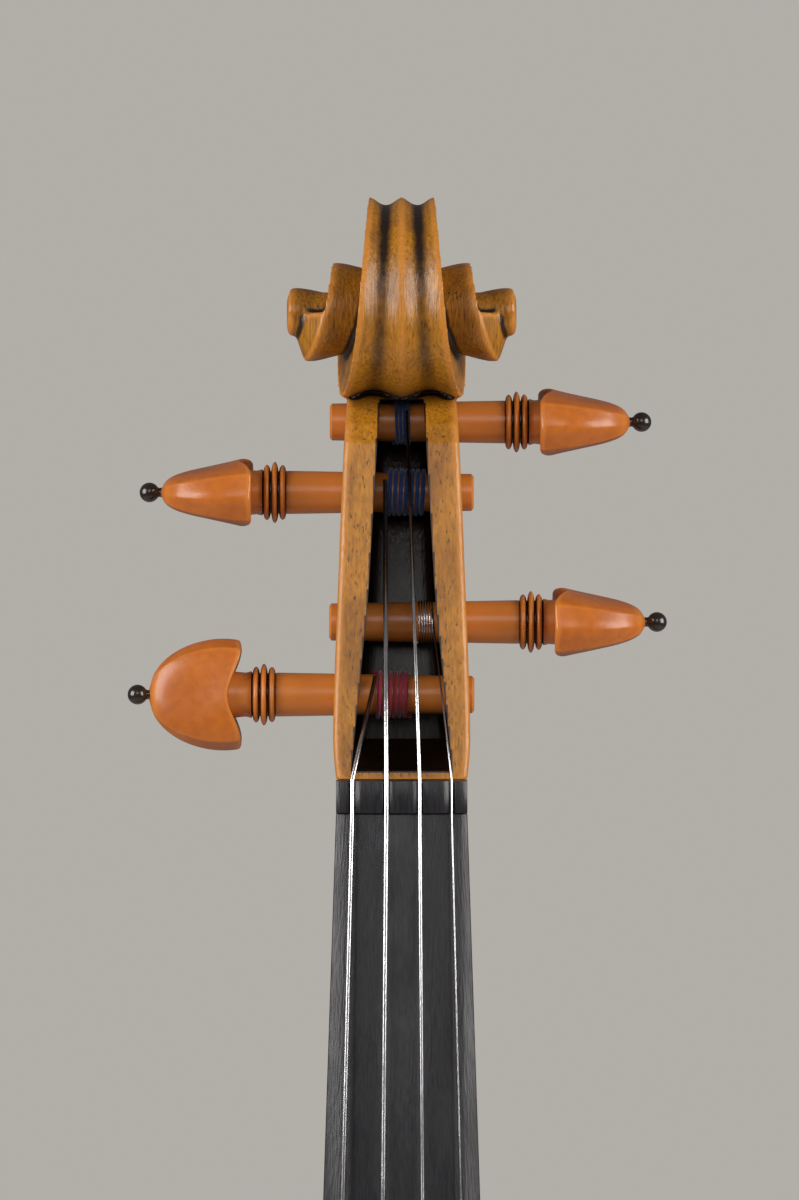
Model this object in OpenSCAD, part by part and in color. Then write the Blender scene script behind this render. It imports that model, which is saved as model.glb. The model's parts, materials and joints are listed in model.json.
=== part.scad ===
// Full-size violin, built as its separate pieces.
// Frame: +Z up along the instrument to the scroll, +X towards the treble side, front faces -Y.
// The origin is on the end button's axis, at the middle of its round head.

/* [Body] */
// Length of the body without the neck
body_len = 355; // [345:1:365]
// Width across the upper bouts
upper_w = 168; // [160:1:176]
// Width across the waist
waist_w = 112; // [106:1:118]
// Width across the lower bouts
lower_w = 207; // [198:1:216]
// Height of the ribs
rib_h = 31; // [28:0.5:34]
// Thickness of a rib
rib_t = 1.1; // [0.9:0.1:1.6]
// How far the plates stand out past the ribs
overhang = 2.8; // [2:0.1:3.5]
// Thickness of both plates at the edge
edge_t = 4; // [3.5:0.1:5]
// Height of the belly's arch above the ribs
belly_arch = 15.5; // [14:0.5:18]
// Height of the back's arch above the ribs
back_arch = 15; // [13:0.5:18]
// Thickness of both plates in the middle
plate_t = 3; // [2.5:0.1:4]
// Depth of a lining strip across the rib's height
lining_h = 7; // [5:0.5:9]
// Thickness of a lining strip
lining_t = 2; // [1.5:0.1:2.5]
// Width of the purfling let into both plates
purfling_w = 1.3; // [1:0.1:1.6]

/* [Neck and fingerboard] */
// Neck length from the body's edge to the nut
neck_len = 130; // [125:1:134]
// Height of the neck's surface above the belly's edge where they meet
overstand = 6.5; // [5:0.5:8]
// Where the fingerboard's line passes the bridge, above the belly
projection = 27; // [25:0.5:29]
// Width of the fingerboard at the nut
nut_w = 24; // [23:0.5:26]
// Width of the fingerboard's free end
board_end_w = 42; // [40:0.5:44]
// Length of the fingerboard
board_len = 270; // [262:1:276]
// Thickness of the fingerboard along its edges
board_edge_t = 5; // [4:0.5:6]
// Radius of the fingerboard's camber
board_r = 42; // [38:1:50]
// Thickness of the nut along the strings
nut_t = 5.9; // [5:0.1:7]
// Depth of the neck under the fingerboard, at the nut
neck_d = 12.5; // [11:0.5:14]
// Depth that the neck is let into its block
mortise = 6; // [4:0.5:8]
// Width of the heel where it meets the back's button
heel_w = 21; // [18:1:24]

/* [Head and pegs] */
// Height of the scroll's eye above the fingerboard's end
eye_u = 92.4; // [90:0.1:95]
// Depth of the scroll's eye behind the fingerboard's glue surface
eye_d = 19.5; // [18:0.5:21]
// Radius of the scroll's eye
eye_r = 4.1; // [3.5:0.1:4.6]
// Distance across the two eyes
eye_w = 42.9; // [40:0.5:45]
// Wall left behind the pegbox's cavity
cavity_back = 5; // [4:0.5:6]
// Radius of a peg where it enters the pegbox
peg_r = 3.9; // [3.6:0.1:4.2]
// Gap between a peg and its hole, on the radius
peg_gap = 0.04; // [0.02:0.01:0.08]
// Length of a peg's thumbpiece
thumb_len = 17.2; // [15:0.5:19]
// Width of a peg's thumbpiece
thumb_w = 21.3; // [19:0.5:23]
// Thickness of a peg's thumbpiece at its base
thumb_t = 13.5; // [11:0.5:15]

/* [Strings and fittings] */
// Distance of the bridge from the body's upper edge
stop_len = 195; // [190:1:200]
// Height of the bridge above the belly
bridge_h = 32; // [30:0.5:34]
// Spread of the outer strings at the bridge
bridge_spread = 34; // [32:0.5:36]
// Length of the tailpiece
tailpiece_len = 105; // [100:1:108]
// String length from the bridge to the tailpiece
afterlength = 52; // [48:1:56]
// Radius of the end button's head
button_r = 7.2; // [6:0.2:8]
// Length of the end button's round head
button_len = 8; // [6:0.5:10]
// Width of the groove that holds the tail gut
groove_w = 3; // [2.6:0.1:4]
// Radius of the tail gut
gut_r = 1.1; // [0.9:0.1:1.3]
// Radius of the sound post
post_r = 3.1; // [2.8:0.1:3.4]
// Gap left between pieces that a curved face would touch
seat_gap = 0.15; // [0.1:0.05:0.3]

/* [Hidden] */

belly_c = [0.80, 0.50, 0.20];
maple_c = [0.74, 0.45, 0.16];
spruce_c = [0.85, 0.70, 0.48];
boxwood_c = [0.78, 0.46, 0.20];
ebony_c = [0.14, 0.13, 0.13];
steel_c = [0.78, 0.78, 0.80];

// ---- curves and small vector helpers ----
function bez(p, t) =
  pow(1 - t, 3) * p[0] + 3 * t * pow(1 - t, 2) * p[1] + 3 * t * t * (1 - t) * p[2] + pow(t, 3) * p[3];
function lerp(a, b, t) = a + (b - a) * t;
function unit(v) = v / norm(v);
function sag(r, x) = r - sqrt(r * r - x * x);
function clamp01(t) = min(1, max(0, t));
function hump(t) = (1 - cos(180 * clamp01(t))) / 2;
function mirrored(pts) = [for (i = [len(pts) - 1:-1:0]) [-pts[i][0], pts[i][1]]];

// ---- body outline, right half, from the bottom centre to the top centre ----
button_out = button_len / 2 + groove_w;
function low(x, z) = [x * lower_w / 207, z * body_len / 355];
function mid(x, z) = [x * waist_w / 112, z * body_len / 355];
function top(x, z) = [x * upper_w / 168, z * body_len / 355];
// each stretch: four control points, steps, and where its ends aim on the centre line
STRETCHES = [
  [[low(0, 0), low(58, 0), low(103.5, 28), low(103.5, 78)], 12, 62, 72],
  [[low(103.5, 78), low(103.5, 100), low(91.5, 110), low(88.5, 119)], 5, 72, 86],
  [[low(88.5, 119), low(86.8, 124), low(88.5, 130), low(93.5, 134)], 4, 86, 92],
  [[low(93.5, 134), low(92.5, 136), low(91.5, 137.7), low(90.5, 139.5)], 1, 92, 94],
  [[low(90.5, 139.5), mid(72, 135), mid(56, 155), mid(56, 188)], 9, 94, 188],
  [[mid(56, 188), mid(56, 212), mid(63, 232), top(76.5, 229.5)], 8, 188, 284],
  [[top(76.5, 229.5), top(77.2, 231.5), top(77.9, 233.5), top(78.5, 235.5)], 1, 284, 286],
  [[top(78.5, 235.5), top(75, 239), top(72.5, 246), top(75.5, 254)], 4, 286, 291],
  [[top(75.5, 254), top(78, 263), top(84, 275), top(84, 293)], 4, 291, 298],
  [[top(84, 293), top(84, 330), top(52, 355), top(0, 355)], 11, 298, 306]
];
RIGHT = concat([for (s = STRETCHES) for (i = [0:s[1] - 1]) bez(s[0], i / s[1])], [top(0, 355)]);
AIM = concat([for (s = STRETCHES) for (i = [0:s[1] - 1]) lerp(s[2], s[3], i / s[1])], [306]) * body_len / 355;
HALF_N = len(RIGHT) - 1;
RING_N = 2 * HALF_N;
function half_of(k) = k <= HALF_N ? k : RING_N - k;
function side_of(k) = k <= HALF_N ? 1 : -1;
OUTLINE = [for (k = [0:RING_N - 1]) [side_of(k) * RIGHT[half_of(k)][0], RIGHT[half_of(k)][1]]];

// ---- arching: height above the rib's plane at a point of the plate ----
lower_z = 78 * body_len / 355;
waist_z = 188 * body_len / 355;
upper_z = 293 * body_len / 355;
flat_margin = 9;
function ellipse(r, t) = r * sqrt(max(0, 1 - t * t));
function arch_half_w(z) =
  z < lower_z ? ellipse(lower_w / 2, (lower_z - z) / lower_z)
  : z < waist_z ? lerp(lower_w / 2, waist_w / 2, hump((z - lower_z) / (waist_z - lower_z)))
  : z < upper_z ? lerp(waist_w / 2, upper_w / 2, hump((z - waist_z) / (upper_z - waist_z)))
  : ellipse(upper_w / 2, (z - upper_z) / (body_len - upper_z));
function long_arch(z, margin) =
  hump((z - margin) / (110 - margin)) * hump((body_len - z - margin) / (95 - margin));
function cross_arch(x, z, margin) = 1 - hump(pow(abs(x) / max(0.01, arch_half_w(z) - margin), 1.2));
function h_out(x, z, arch) = edge_t + (arch - edge_t) * long_arch(z, 0) * cross_arch(x, z, 0);
function h_in(x, z, arch) =
  (arch - plate_t) * long_arch(z, flat_margin) * cross_arch(x, z, flat_margin);

// ---- strings' plane: heights are measured forwards from the ribs' middle plane ----
bridge_z = body_len - stop_len;
belly_top = rib_h / 2 + belly_arch;
nut_sag = sag(board_r, nut_w / 2);
camber_gain = (sag(board_r, board_end_w / 2) - nut_sag) / board_len;
root_f = rib_h / 2 + edge_t + overstand;
board_top_f = root_f + board_edge_t + nut_sag + camber_gain * neck_len;
top_slope = (belly_top + projection - board_top_f) / (body_len - bridge_z);
neck_slope = top_slope - camber_gain;
neck_tilt = atan(neck_slope);
nut_z = body_len + neck_len;
nut_f = root_f - neck_slope * neck_len;
function glue_f(z) = root_f + neck_slope * (body_len - z);
function board_w(u) = lerp(nut_w, board_end_w, u / board_len);

// ---- placing: body pieces count z from the body's lower edge ----
module on_body() {
  translate([0, 0, button_out]) children();
}
// neck pieces count z up from the fingerboard's end, y back from the glue surface
module on_neck() {
  on_body() translate([0, -nut_f, nut_z]) rotate([-neck_tilt, 0, 0]) children();
}
// a flat outline in x and z, given thickness from y0 to y1
module slab(y0, y1) {
  translate([0, y1, 0]) rotate([90, 0, 0]) linear_extrude(y1 - y0) children();
}
// a side profile of points [back, up], given thickness across the instrument
module side_slab(w) {
  rotate([90, 0, 90]) linear_extrude(w, center = true) children();
}
module body_area(inset) {
  offset(delta = -inset) polygon(OUTLINE);
}

// ---- round tube swept along a list of points ----
function tangent(path, i) =
  unit(path[min(i + 1, len(path) - 1)] - path[max(i - 1, 0)]);
function normals(path, i, prev) =
  i == len(path) ? []
  : let (t = tangent(path, i), n = unit(prev - (prev * t) * t)) concat([n], normals(path, i + 1, n));
module tube(path, r, sides = 8, first = [1, 0.01, 0.02]) {
  ns = normals(path, 0, first);
  last = len(path) - 1;
  pts = [for (i = [0:last]) for (j = [0:sides - 1])
    let (t = tangent(path, i), a = 360 * j / sides)
      path[i] + r * (cos(a) * ns[i] + sin(a) * cross(t, ns[i]))];
  walls = [for (i = [0:last - 1]) for (j = [0:sides - 1])
    let (k = (j + 1) % sides, a = i * sides, b = a + sides)
      each [[a + j, b + j, b + k], [a + j, b + k, a + k]]];
  caps = [[for (j = [0:sides - 1]) j], [for (j = [sides - 1:-1:0]) last * sides + j]];
  polyhedron(pts, concat(walls, caps));
}

// ---- the two arched plates ----
OUT_T = [0, 0.04, 0.09, 0.16, 0.25, 0.36, 0.48, 0.62, 0.78, 0.96];
IN_T = [0, 0.1, 0.2, 0.31, 0.43, 0.56, 0.69, 0.82, 0.96];
function toward(k, t) =
  [lerp(OUTLINE[k][0], 0, t), lerp(OUTLINE[k][1], AIM[half_of(k)], t)];
module plate_shell(arch) {
  pts = concat(
    [for (t = OUT_T) for (k = [0:RING_N - 1]) let (p = toward(k, t))
      [p[0], -rib_h / 2 - h_out(p[0], p[1], arch), p[1]]],
    [for (t = IN_T) for (k = [0:RING_N - 1]) let (p = toward(k, t))
      [p[0], -rib_h / 2 - (t == 0 ? 0 : h_in(p[0], p[1], arch)), p[1]]]);
  base = len(OUT_T) * RING_N;
  outer = [for (i = [0:len(OUT_T) - 2]) for (k = [0:RING_N - 1])
    let (n = (k + 1) % RING_N, a = i * RING_N, b = a + RING_N)
      each [[a + k, b + k, b + n], [a + k, b + n, a + n]]];
  inner = [for (i = [0:len(IN_T) - 2]) for (k = [0:RING_N - 1])
    let (n = (k + 1) % RING_N, a = base + i * RING_N, b = a + RING_N)
      each [[a + k, a + n, b + n], [a + k, b + n, b + k]]];
  edge = [for (k = [0:RING_N - 1]) let (n = (k + 1) % RING_N)
    each [[k, n, base + n], [k, base + n, base + k]]];
  polyhedron(pts, concat(outer, inner, edge,
    seam((len(OUT_T) - 1) * RING_N, true), seam(base + (len(IN_T) - 1) * RING_N, false)));
}
// the strip that joins the innermost ring's two sides along the centre line
function seam(a, front) = [for (k = [0:HALF_N - 1])
  let (r0 = a + k, r1 = a + k + 1, l0 = a + (RING_N - k) % RING_N, l1 = a + RING_N - k - 1)
    each k == 0 ? [front ? [r0, l1, r1] : [r0, r1, l1]]
    : k == HALF_N - 1 ? [front ? [r0, l0, r1] : [r0, r1, l0]]
    : front ? [[r0, l0, l1], [r0, l1, r1]] : [[r0, r1, l1], [r0, l1, l0]]];

purfling_inset = 4;
purfling_depth = 1.5;
module purfling_ring() {
  difference() {
    body_area(purfling_inset);
    body_area(purfling_inset + purfling_w);
  }
}
module purfling_strip() {
  on_body() slab(-rib_h / 2 - edge_t, -rib_h / 2 - edge_t + purfling_depth) purfling_ring();
}
// the trapezoid of the neck's foot, which is let into the block, the ribs and the belly
module neck_root() {
  w = board_w(neck_len) / 2;
  translate([0, 0, body_len - mortise]) linear_extrude(mortise)
    polygon([[-w, -root_f], [w, -root_f], [heel_w / 2, rib_h / 2], [-heel_w / 2, rib_h / 2]]);
}
saddle_w = 34;
saddle_len = 6.5;
saddle_rise = 3.7;

module saddle_seat() {
  translate([-saddle_w / 2, -rib_h / 2 - edge_t * 2, -1]) cube([saddle_w, edge_t * 2, saddle_len + 1]);
}

// treble f-hole: two eyes and a stem that swells in the middle
F_EYES = [[24.5, 33.5, 3.1], [39, -30, 4.3]];
F_PATH = [[24.5, 36], [29, 41], [34, 38], [34.5, 22], [32.5, 0], [30, -22], [30, -37], [35, -39], [39, -33.5]];
function f_stem(i) = 0.7 + 2.3 * pow(sin(180 * (i + 0.5) / len(F_PATH)), 2);
module f_hole() {
  translate([0, bridge_z]) {
    for (e = F_EYES) translate([e[0], e[1]]) circle(r = e[2], $fn = 20);
    for (i = [0:len(F_PATH) - 2]) hull() {
      translate(F_PATH[i]) circle(r = f_stem(i), $fn = 14);
      translate(F_PATH[i + 1]) circle(r = f_stem(i + 1), $fn = 14);
    }
  }
}
module top_plate() {
  color(belly_c) on_body() resize([0, 0, 0]) difference() {
    plate_shell(belly_arch);
    slab(-rib_h / 2 - belly_arch - 2, -rib_h / 2 - edge_t + purfling_depth) purfling_ring();
    for (s = [0, 1]) mirror([s, 0, 0]) slab(-rib_h, 0) f_hole();
    neck_root();
    saddle_seat();
  }
}
button_tab_r = 13;
module back_plate() {
  color(maple_c) on_body() resize([0, 0, 0]) difference() {
    union() {
      mirror([0, 1, 0]) plate_shell(back_arch);
      slab(rib_h / 2, rib_h / 2 + edge_t) intersection() {
        translate([0, body_len]) scale([heel_w / 2 / button_tab_r, 1]) circle(button_tab_r, $fn = 40);
        translate([-heel_w, body_len - 3]) square([2 * heel_w, 30]);
      }
    }
    slab(rib_h / 2 + edge_t - purfling_depth, rib_h / 2 + back_arch + 2) purfling_ring();
  }
}
module purfling_front() {
  color(ebony_c) difference() {
    purfling_strip();
    on_body() neck_root();
    on_body() saddle_seat();
  }
}
module purfling_back() { color(ebony_c) mirror([0, 1, 0]) purfling_strip(); }

// ---- ribs, linings and blocks ----
lower_tip = low(92, 136.8);
upper_tip = top(77.5, 232.5);
lower_aim = [0, 94 * body_len / 355];
upper_aim = [0, 285 * body_len / 355];
function past(aim, tip) = aim + 1.35 * (tip - aim);
far_low = past(lower_aim, lower_tip);
far_up = past(upper_aim, upper_tip);
module part_of(which) {
  x = lower_w;
  if (which == "lower") polygon([[0, -9], [x, -9], [x, far_low[1]], far_low, lower_aim]);
  if (which == "waist") polygon([lower_aim, far_low, far_up, upper_aim]);
  if (which == "upper") polygon([upper_aim, far_up, [x, far_up[1]], [x, body_len + 9], [0, body_len + 9]]);
}
module ring(inset, t) {
  difference() {
    body_area(inset);
    body_area(inset + t);
  }
}
module rib(which, side) {
  color(maple_c) on_body() difference() {
    mirror([side < 0 ? 1 : 0, 0, 0]) slab(-rib_h / 2, rib_h / 2) intersection() {
      ring(overhang, rib_t);
      part_of(which);
    }
    if (which == "upper") neck_root();
    if (which == "lower") button_bore();
  }
}
inner_inset = overhang + rib_t;
corner_block_r = 25;
end_block_w = 44;
end_block_d = 16;
neck_block_w = 50;
neck_block_d = 20;
module corner_patch(tip) {
  intersection() {
    body_area(inner_inset);
    translate(tip) circle(corner_block_r, $fn = 48);
  }
}
module neck_patch() {
  intersection() {
    body_area(inner_inset);
    translate([-neck_block_w / 2, body_len - neck_block_d]) square([neck_block_w, neck_block_d]);
  }
}
module end_patch() {
  intersection() {
    body_area(inner_inset);
    translate([-end_block_w / 2, 0]) square([end_block_w, end_block_d]);
  }
}
module lining_pair() {
  color(spruce_c) on_body() slab(-rib_h / 2, -rib_h / 2 + lining_h) difference() {
    ring(inner_inset, lining_t);
    for (s = [0, 1]) mirror([s, 0]) for (tip = [lower_tip, upper_tip])
      translate(tip) circle(corner_block_r, $fn = 48);
    translate([-neck_block_w / 2, body_len - neck_block_d]) square([neck_block_w, neck_block_d + 9]);
    translate([-end_block_w / 2, -9]) square([end_block_w, end_block_d + 9]);
  }
}
module linings_front() { lining_pair(); }
module linings_back() { mirror([0, 1, 0]) lining_pair(); }
module corner_block(tip, side) {
  color(spruce_c) on_body() mirror([side < 0 ? 1 : 0, 0, 0])
    slab(-rib_h / 2, rib_h / 2) corner_patch(tip);
}
module neck_block() {
  color(spruce_c) on_body() difference() {
    slab(-rib_h / 2, rib_h / 2) neck_patch();
    neck_root();
  }
}
module end_block() {
  color(spruce_c) on_body() difference() {
    slab(-rib_h / 2, rib_h / 2) end_patch();
    button_bore();
  }
}
bar_x = 17;
bar_t = 5.5;
bar_len = 270;
under_gap = 0.45;
module bass_bar() {
  z0 = (body_len - bar_len) / 2;
  steps = 24;
  edge_x = bar_x + bar_t / 2;
  function seat(z) = rib_h / 2 + h_in(edge_x, z, belly_arch) - under_gap;
  function depth(z) = 2.5 + 8.5 * pow(sin(180 * (z - z0) / bar_len), 1.3);
  zs = [for (i = [0:steps]) z0 + bar_len * i / steps];
  color(spruce_c) on_body() translate([-bar_x, 0, 0]) side_slab(bar_t)
    polygon(concat([for (z = zs) [-seat(z), z]],
      [for (i = [steps:-1:0]) [-seat(zs[i]) + depth(zs[i]), zs[i]]]));
}
post_x = 19;
post_z = bridge_z - 8;
module sound_post() {
  far = post_x + post_r;
  front = rib_h / 2 + h_in(far, post_z - post_r, belly_arch) - under_gap;
  back = rib_h / 2 + h_in(far, post_z - post_r, back_arch) - under_gap;
  color(spruce_c) on_body() translate([post_x, back, post_z]) rotate([90, 0, 0])
    cylinder(r = post_r, h = front + back, $fn = 48);
}

// ---- end button, saddle and tail gut ----
button_neck_r = 3.6;
button_tip_r = 3.1;
button_shaft = 24;
pip_r = 2.4;
module button_bore() {
  translate([0, 0, -1]) cylinder(r1 = button_neck_r + peg_gap, r2 = button_tip_r + peg_gap, h = button_shaft + 2, $fn = 64);
}
module end_button() {
  color(boxwood_c) rotate_extrude($fn = 64)
    polygon([[pip_r, -button_len / 2 - 1], [button_r - 1.2, -button_len / 2 - 1], [button_r, -button_len / 2],
      [button_r, button_len / 2], [button_neck_r, button_len / 2], [button_neck_r, button_out],
      [button_tip_r, button_out + button_shaft], [0, button_out + button_shaft], [0, -button_len / 2 + 2],
      [pip_r, -button_len / 2 + 2]]);
}
module button_pip() {
  color(ebony_c) rotate_extrude($fn = 48)
    polygon([[0, -button_len / 2 - 1.9], [1.3, -button_len / 2 - 1.6], [pip_r - peg_gap, -button_len / 2 - 0.9],
      [pip_r - peg_gap, -button_len / 2 + 2], [0, -button_len / 2 + 2]]);
}
saddle_top = rib_h / 2 + edge_t + saddle_rise;
module saddle() {
  color(ebony_c) on_body() side_slab(saddle_w)
    polygon([[-rib_h / 2, 0], [-rib_h / 2 - edge_t, 0], [-saddle_top + 1, 1.2], [-saddle_top, 3],
      [-saddle_top + 1, saddle_len], [-rib_h / 2, saddle_len]]);
}

// ---- neck, fingerboard and nut ----
blend_len = 34;
root_w = board_w(neck_len);
function heel_share(s) = 1 - hump(s / blend_len);
function neck_depth(s) =
  lerp(neck_d + 2.1, neck_d, clamp01(s / neck_len)) + 32 * (1 - hump((s - 5) / 26));
// one cross-section at a distance s above the body's edge
function neck_section(s) = let (
    w = board_w(neck_len - s) / 2, round = 1 - 0.45 * heel_share(s),
    taper = (1 - heel_w / root_w) * heel_share(s), u = s - neck_len)
  [for (j = [0:NECK_SIDES]) let (a = 180 * j / NECK_SIDES, c = cos(a), down = pow(sin(a), round))
    [w * sign(c) * pow(abs(c), round) * (1 - taper * down), neck_depth(s) * down, u]];
NECK_SIDES = 16;
NECK_S = [-9, 0, 5, 9, 12, 15, 18, 21, 24, 28, 33, 45, 70, 100];
module neck_wood() {
  stations = concat(NECK_S, [neck_len, neck_len + nut_t]);
  n = NECK_SIDES + 1;
  last = (len(stations) - 1) * n;
  walls = [for (i = [0:len(stations) - 2]) for (j = [0:n - 1])
    let (k = (j + 1) % n, a = i * n, b = a + n)
      each [[a + j, b + j, b + k], [a + j, b + k, a + k]]];
  polyhedron([for (s = stations) each neck_section(s)],
    concat(walls, [[for (j = [0:n - 1]) j], [for (j = [n - 1:-1:0]) last + j]]));
}
module neck() {
  color(maple_c) {
    difference() {
      on_neck() neck_wood();
      on_body() translate([-60, -60, body_len - 60]) cube([120, 120, 60]);
      on_body() translate([-60, rib_h / 2, body_len - 60]) cube([120, 60, 120]);
    }
    on_body() neck_root();
  }
}
board_crown = board_edge_t + nut_sag;
module board_cylinder(rise) {
  translate([0, board_r - board_crown - rise, 0]) rotate([-atan(camber_gain), 0, 0])
    translate([0, 0, -board_len - 20]) cylinder(r = board_r, h = board_len + 60, $fn = 96);
}
module fingerboard() {
  color(ebony_c) on_neck() intersection() {
    slab(-board_crown * 2, 0) polygon([[-nut_w / 2, 0], [nut_w / 2, 0],
      [board_end_w / 2, -board_len], [-board_end_w / 2, -board_len]]);
    board_cylinder(0);
  }
}
nut_rise = 0.75;
groove_r = 0.6;
module nut() {
  color(ebony_c) on_neck() difference() {
    intersection() {
      slab(-board_crown * 2, 0) square([nut_w, 2 * nut_t], center = true);
      board_cylinder(nut_rise);
      translate([-nut_w, -board_crown * 2, 0]) cube([2 * nut_w, board_crown * 2, nut_t]);
    }
    for (s = STRINGS) translate([s[1], nut_y(s[1]), -1]) cylinder(r = groove_r, h = nut_t + 2, $fn = 24);
  }
}

// ---- strings: name, place on the nut, place on the bridge, radius, where it meets its peg ----
STRINGS = [
  ["g", -9.05, -bridge_spread / 2, 0.4, -4.9],
  ["d", -2.8, -bridge_spread / 6, 0.42, -3.1],
  ["a", 3.3, bridge_spread / 6, 0.33, 1],
  ["e", 9.15, bridge_spread / 2, 0.15, 5.6]
];
function nut_y(x) = sag(board_r, x) - board_crown - nut_rise + 0.1;
// a point of the neck's frame, in the body's frame
function neck_pt(x, y, u) = [x,
  y * cos(neck_tilt) + u * sin(neck_tilt) - nut_f,
  u * cos(neck_tilt) - y * sin(neck_tilt) + nut_z];

// ---- pegs: name, side of the head, height, depth, reach of the rings, turn of the thumbpiece,
// the stretch of peg under the winding ----
PEGS = [
  ["g", -1, nut_t + 15.4, 13.5, 23.4, 0, [-5.3, 1.9]],
  ["d", -1, nut_t + 53.2, 22.5, 21.6, 82, [-3.4, 4.6]],
  ["a", 1, nut_t + 66.5, 25, 19.4, -82, [-1.8, 1.8]],
  ["e", 1, nut_t + 28.9, 16.5, 21.9, -82, [2.8, 6]]
];
wall_x = 12.3;
tip_out = 1.2;
function peg_of(name) = PEGS[search([name], PEGS)[0]];
function string_of(name) = STRINGS[search([name], STRINGS)[0]];
function peg_r_at(z) = peg_r + (z - wall_x) / 60;
module at_peg(p) {
  on_neck() translate([0, p[3], p[2]]) rotate([0, 90 * p[1], 0]) children();
}
rings_len = 4.4;
module peg_rings(z0) {
  n = 7;
  swell = [1.2, 1.75, 1.2];
  pitch = rings_len / 3;
  rotate_extrude($fn = 64) polygon(concat([[0, z0]],
    [for (i = [0:2]) for (j = [0:n]) [peg_r + 0.1 + swell[i] * sqrt(max(0, sin(180 * j / n))),
      z0 + pitch * (i + 0.02 + 0.96 * j / n)]],
    [[0, z0 + rings_len]]));
}
function thumb_outline() = let (n = 18) concat(
  [for (i = [0:n]) let (t = i / n) [thumb_w / 2 * sqrt(max(0, 1 - pow(t, 2.6))), thumb_len * t]],
  [for (i = [n - 1:-1:0]) let (t = i / n) [-thumb_w / 2 * sqrt(max(0, 1 - pow(t, 2.6))), thumb_len * t]]);
module thumb() {
  n = 10;
  function half(t) = lerp(thumb_t, thumb_t / 2, t) / 2 - 0.9 * sin(180 * t);
  intersection() {
    rotate([90, 0, 0]) linear_extrude(thumb_t * 2, center = true) difference() {
      polygon(thumb_outline());
      translate([0, -3.2]) circle(6.4, $fn = 48);
    }
    rotate([90, 0, 90]) linear_extrude(thumb_w * 2, center = true) polygon(concat(
      [for (i = [0:n]) [half(i / n), thumb_len * i / n]],
      [for (i = [n:-1:0]) [-half(i / n), thumb_len * i / n]]));
  }
}
collar_gap = 1.6;
pip_hole_r = 0.9;
pip_hole = 2;
function thumb_z(p) = p[4] + rings_len + collar_gap;
module peg(name) {
  p = peg_of(name);
  z0 = -wall_x - tip_out;
  neck_top = thumb_z(p) + 5;
  color(boxwood_c) at_peg(p) difference() {
    union() {
      translate([0, 0, z0]) cylinder(r1 = peg_r_at(z0), r2 = peg_r_at(p[4]), h = p[4] - z0, $fn = 64);
      peg_rings(p[4]);
      translate([0, 0, p[4]]) cylinder(r = peg_r + 0.4, h = neck_top - p[4], $fn = 64);
      translate([0, 0, thumb_z(p)]) rotate([0, 0, p[5]]) thumb();
    }
    translate([0, 0, thumb_z(p) + thumb_len - pip_hole]) cylinder(r = pip_hole_r, h = 5, $fn = 32);
  }
}
pip_ball_r = 1.85;
module pip(name) {
  p = peg_of(name);
  z0 = thumb_z(p) + thumb_len;
  color(ebony_c) at_peg(p) rotate_extrude($fn = 48) intersection() {
    union() {
      translate([0, z0 - pip_hole]) square([pip_hole_r - peg_gap, pip_hole + 1.2]);
      translate([0, z0 + pip_ball_r + 0.7]) circle(pip_ball_r, $fn = 40);
    }
    translate([0, z0 - 9]) square(20);
  }
}
function winding_r(name) = peg_r_at(0) + 0.1 + 2 * string_of(name)[3];
module winding(name) {
  p = peg_of(name);
  ends = p[1] > 0 ? p[6] : [-p[6][1], -p[6][0]];
  color(name == "g" ? [0.45, 0.08, 0.12] : name == "e" ? steel_c : [0.12, 0.22, 0.4])
    at_peg(p) difference() {
      translate([0, 0, ends[0]]) cylinder(r = winding_r(name), h = ends[1] - ends[0], $fn = 48);
      translate([0, 0, ends[0] - 1]) cylinder(r1 = peg_r_at(ends[0] - 1) + 0.03,
        r2 = peg_r_at(ends[1] + 1) + 0.03, h = ends[1] - ends[0] + 2, $fn = 64);
    }
}

// ---- head: pegbox and scroll, in the neck's frame, with points as [back, up] ----
throat = [[9.3, 68], [11, 71.5], [14.5, 74.6], [20, 77.5]];
BACK = [[19.5 + 24.3, 92.4], [43.4, 78], [34, 60], [29.5, 40]];
CHIN = [[29.5, 40], [27, 29], [26, 22], [25.6, 12]];
cheek_plan = [[nut_t, 12.04], [13.3, 12.64], [39.2, 11.85], [76.3, 10.3], [92.4, 8.2], [97, 7.7]];
cavity_plan = [[nut_t - 1, 9.6], [nut_t + 1.9, 9.26], [39.2, 6.2], [76.3, 4.07], [90, 3.8]];
function both_sides(plan) = concat(
  [for (p = plan) [p[1], p[0]]], [for (i = [len(plan) - 1:-1:0]) [-plan[i][1], plan[i][0]]]);
function back_line(inset) = [for (i = [0:8]) let (p = bez(BACK, i / 8)) [p[0] - inset, p[1]]];
function chin_line(inset) = [for (i = [1:5]) let (p = bez(CHIN, i / 5)) [p[0] - inset, p[1]]];
module pegbox() {
  intersection() {
    side_slab(40) polygon(concat([[0, nut_t]], [for (i = [0:6]) bez(throat, i / 6)],
      [[26, 88], [34, 96], [41.8, 96]], back_line(0), chin_line(0),
      [[24, 3], [20, -0.5], [15, 1], [12.4, nut_t]]));
    slab(-10, 60) polygon(concat([[12.04, -5]], both_sides(cheek_plan), [[-12.04, -5]]));
  }
}
module cavity() {
  intersection() {
    side_slab(40) polygon(concat([[-9, nut_t + 1.5], [-9, 68], [9, 68.5], [20, 77.2], [30, 77.6]],
      [for (p = back_line(cavity_back)) if (p[1] < 77.4) p], chin_line(cavity_back),
      [[19.5, 8.5], [12, nut_t + 1.5]]));
    slab(-10, 60) polygon(both_sides(cavity_plan));
  }
}
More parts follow.
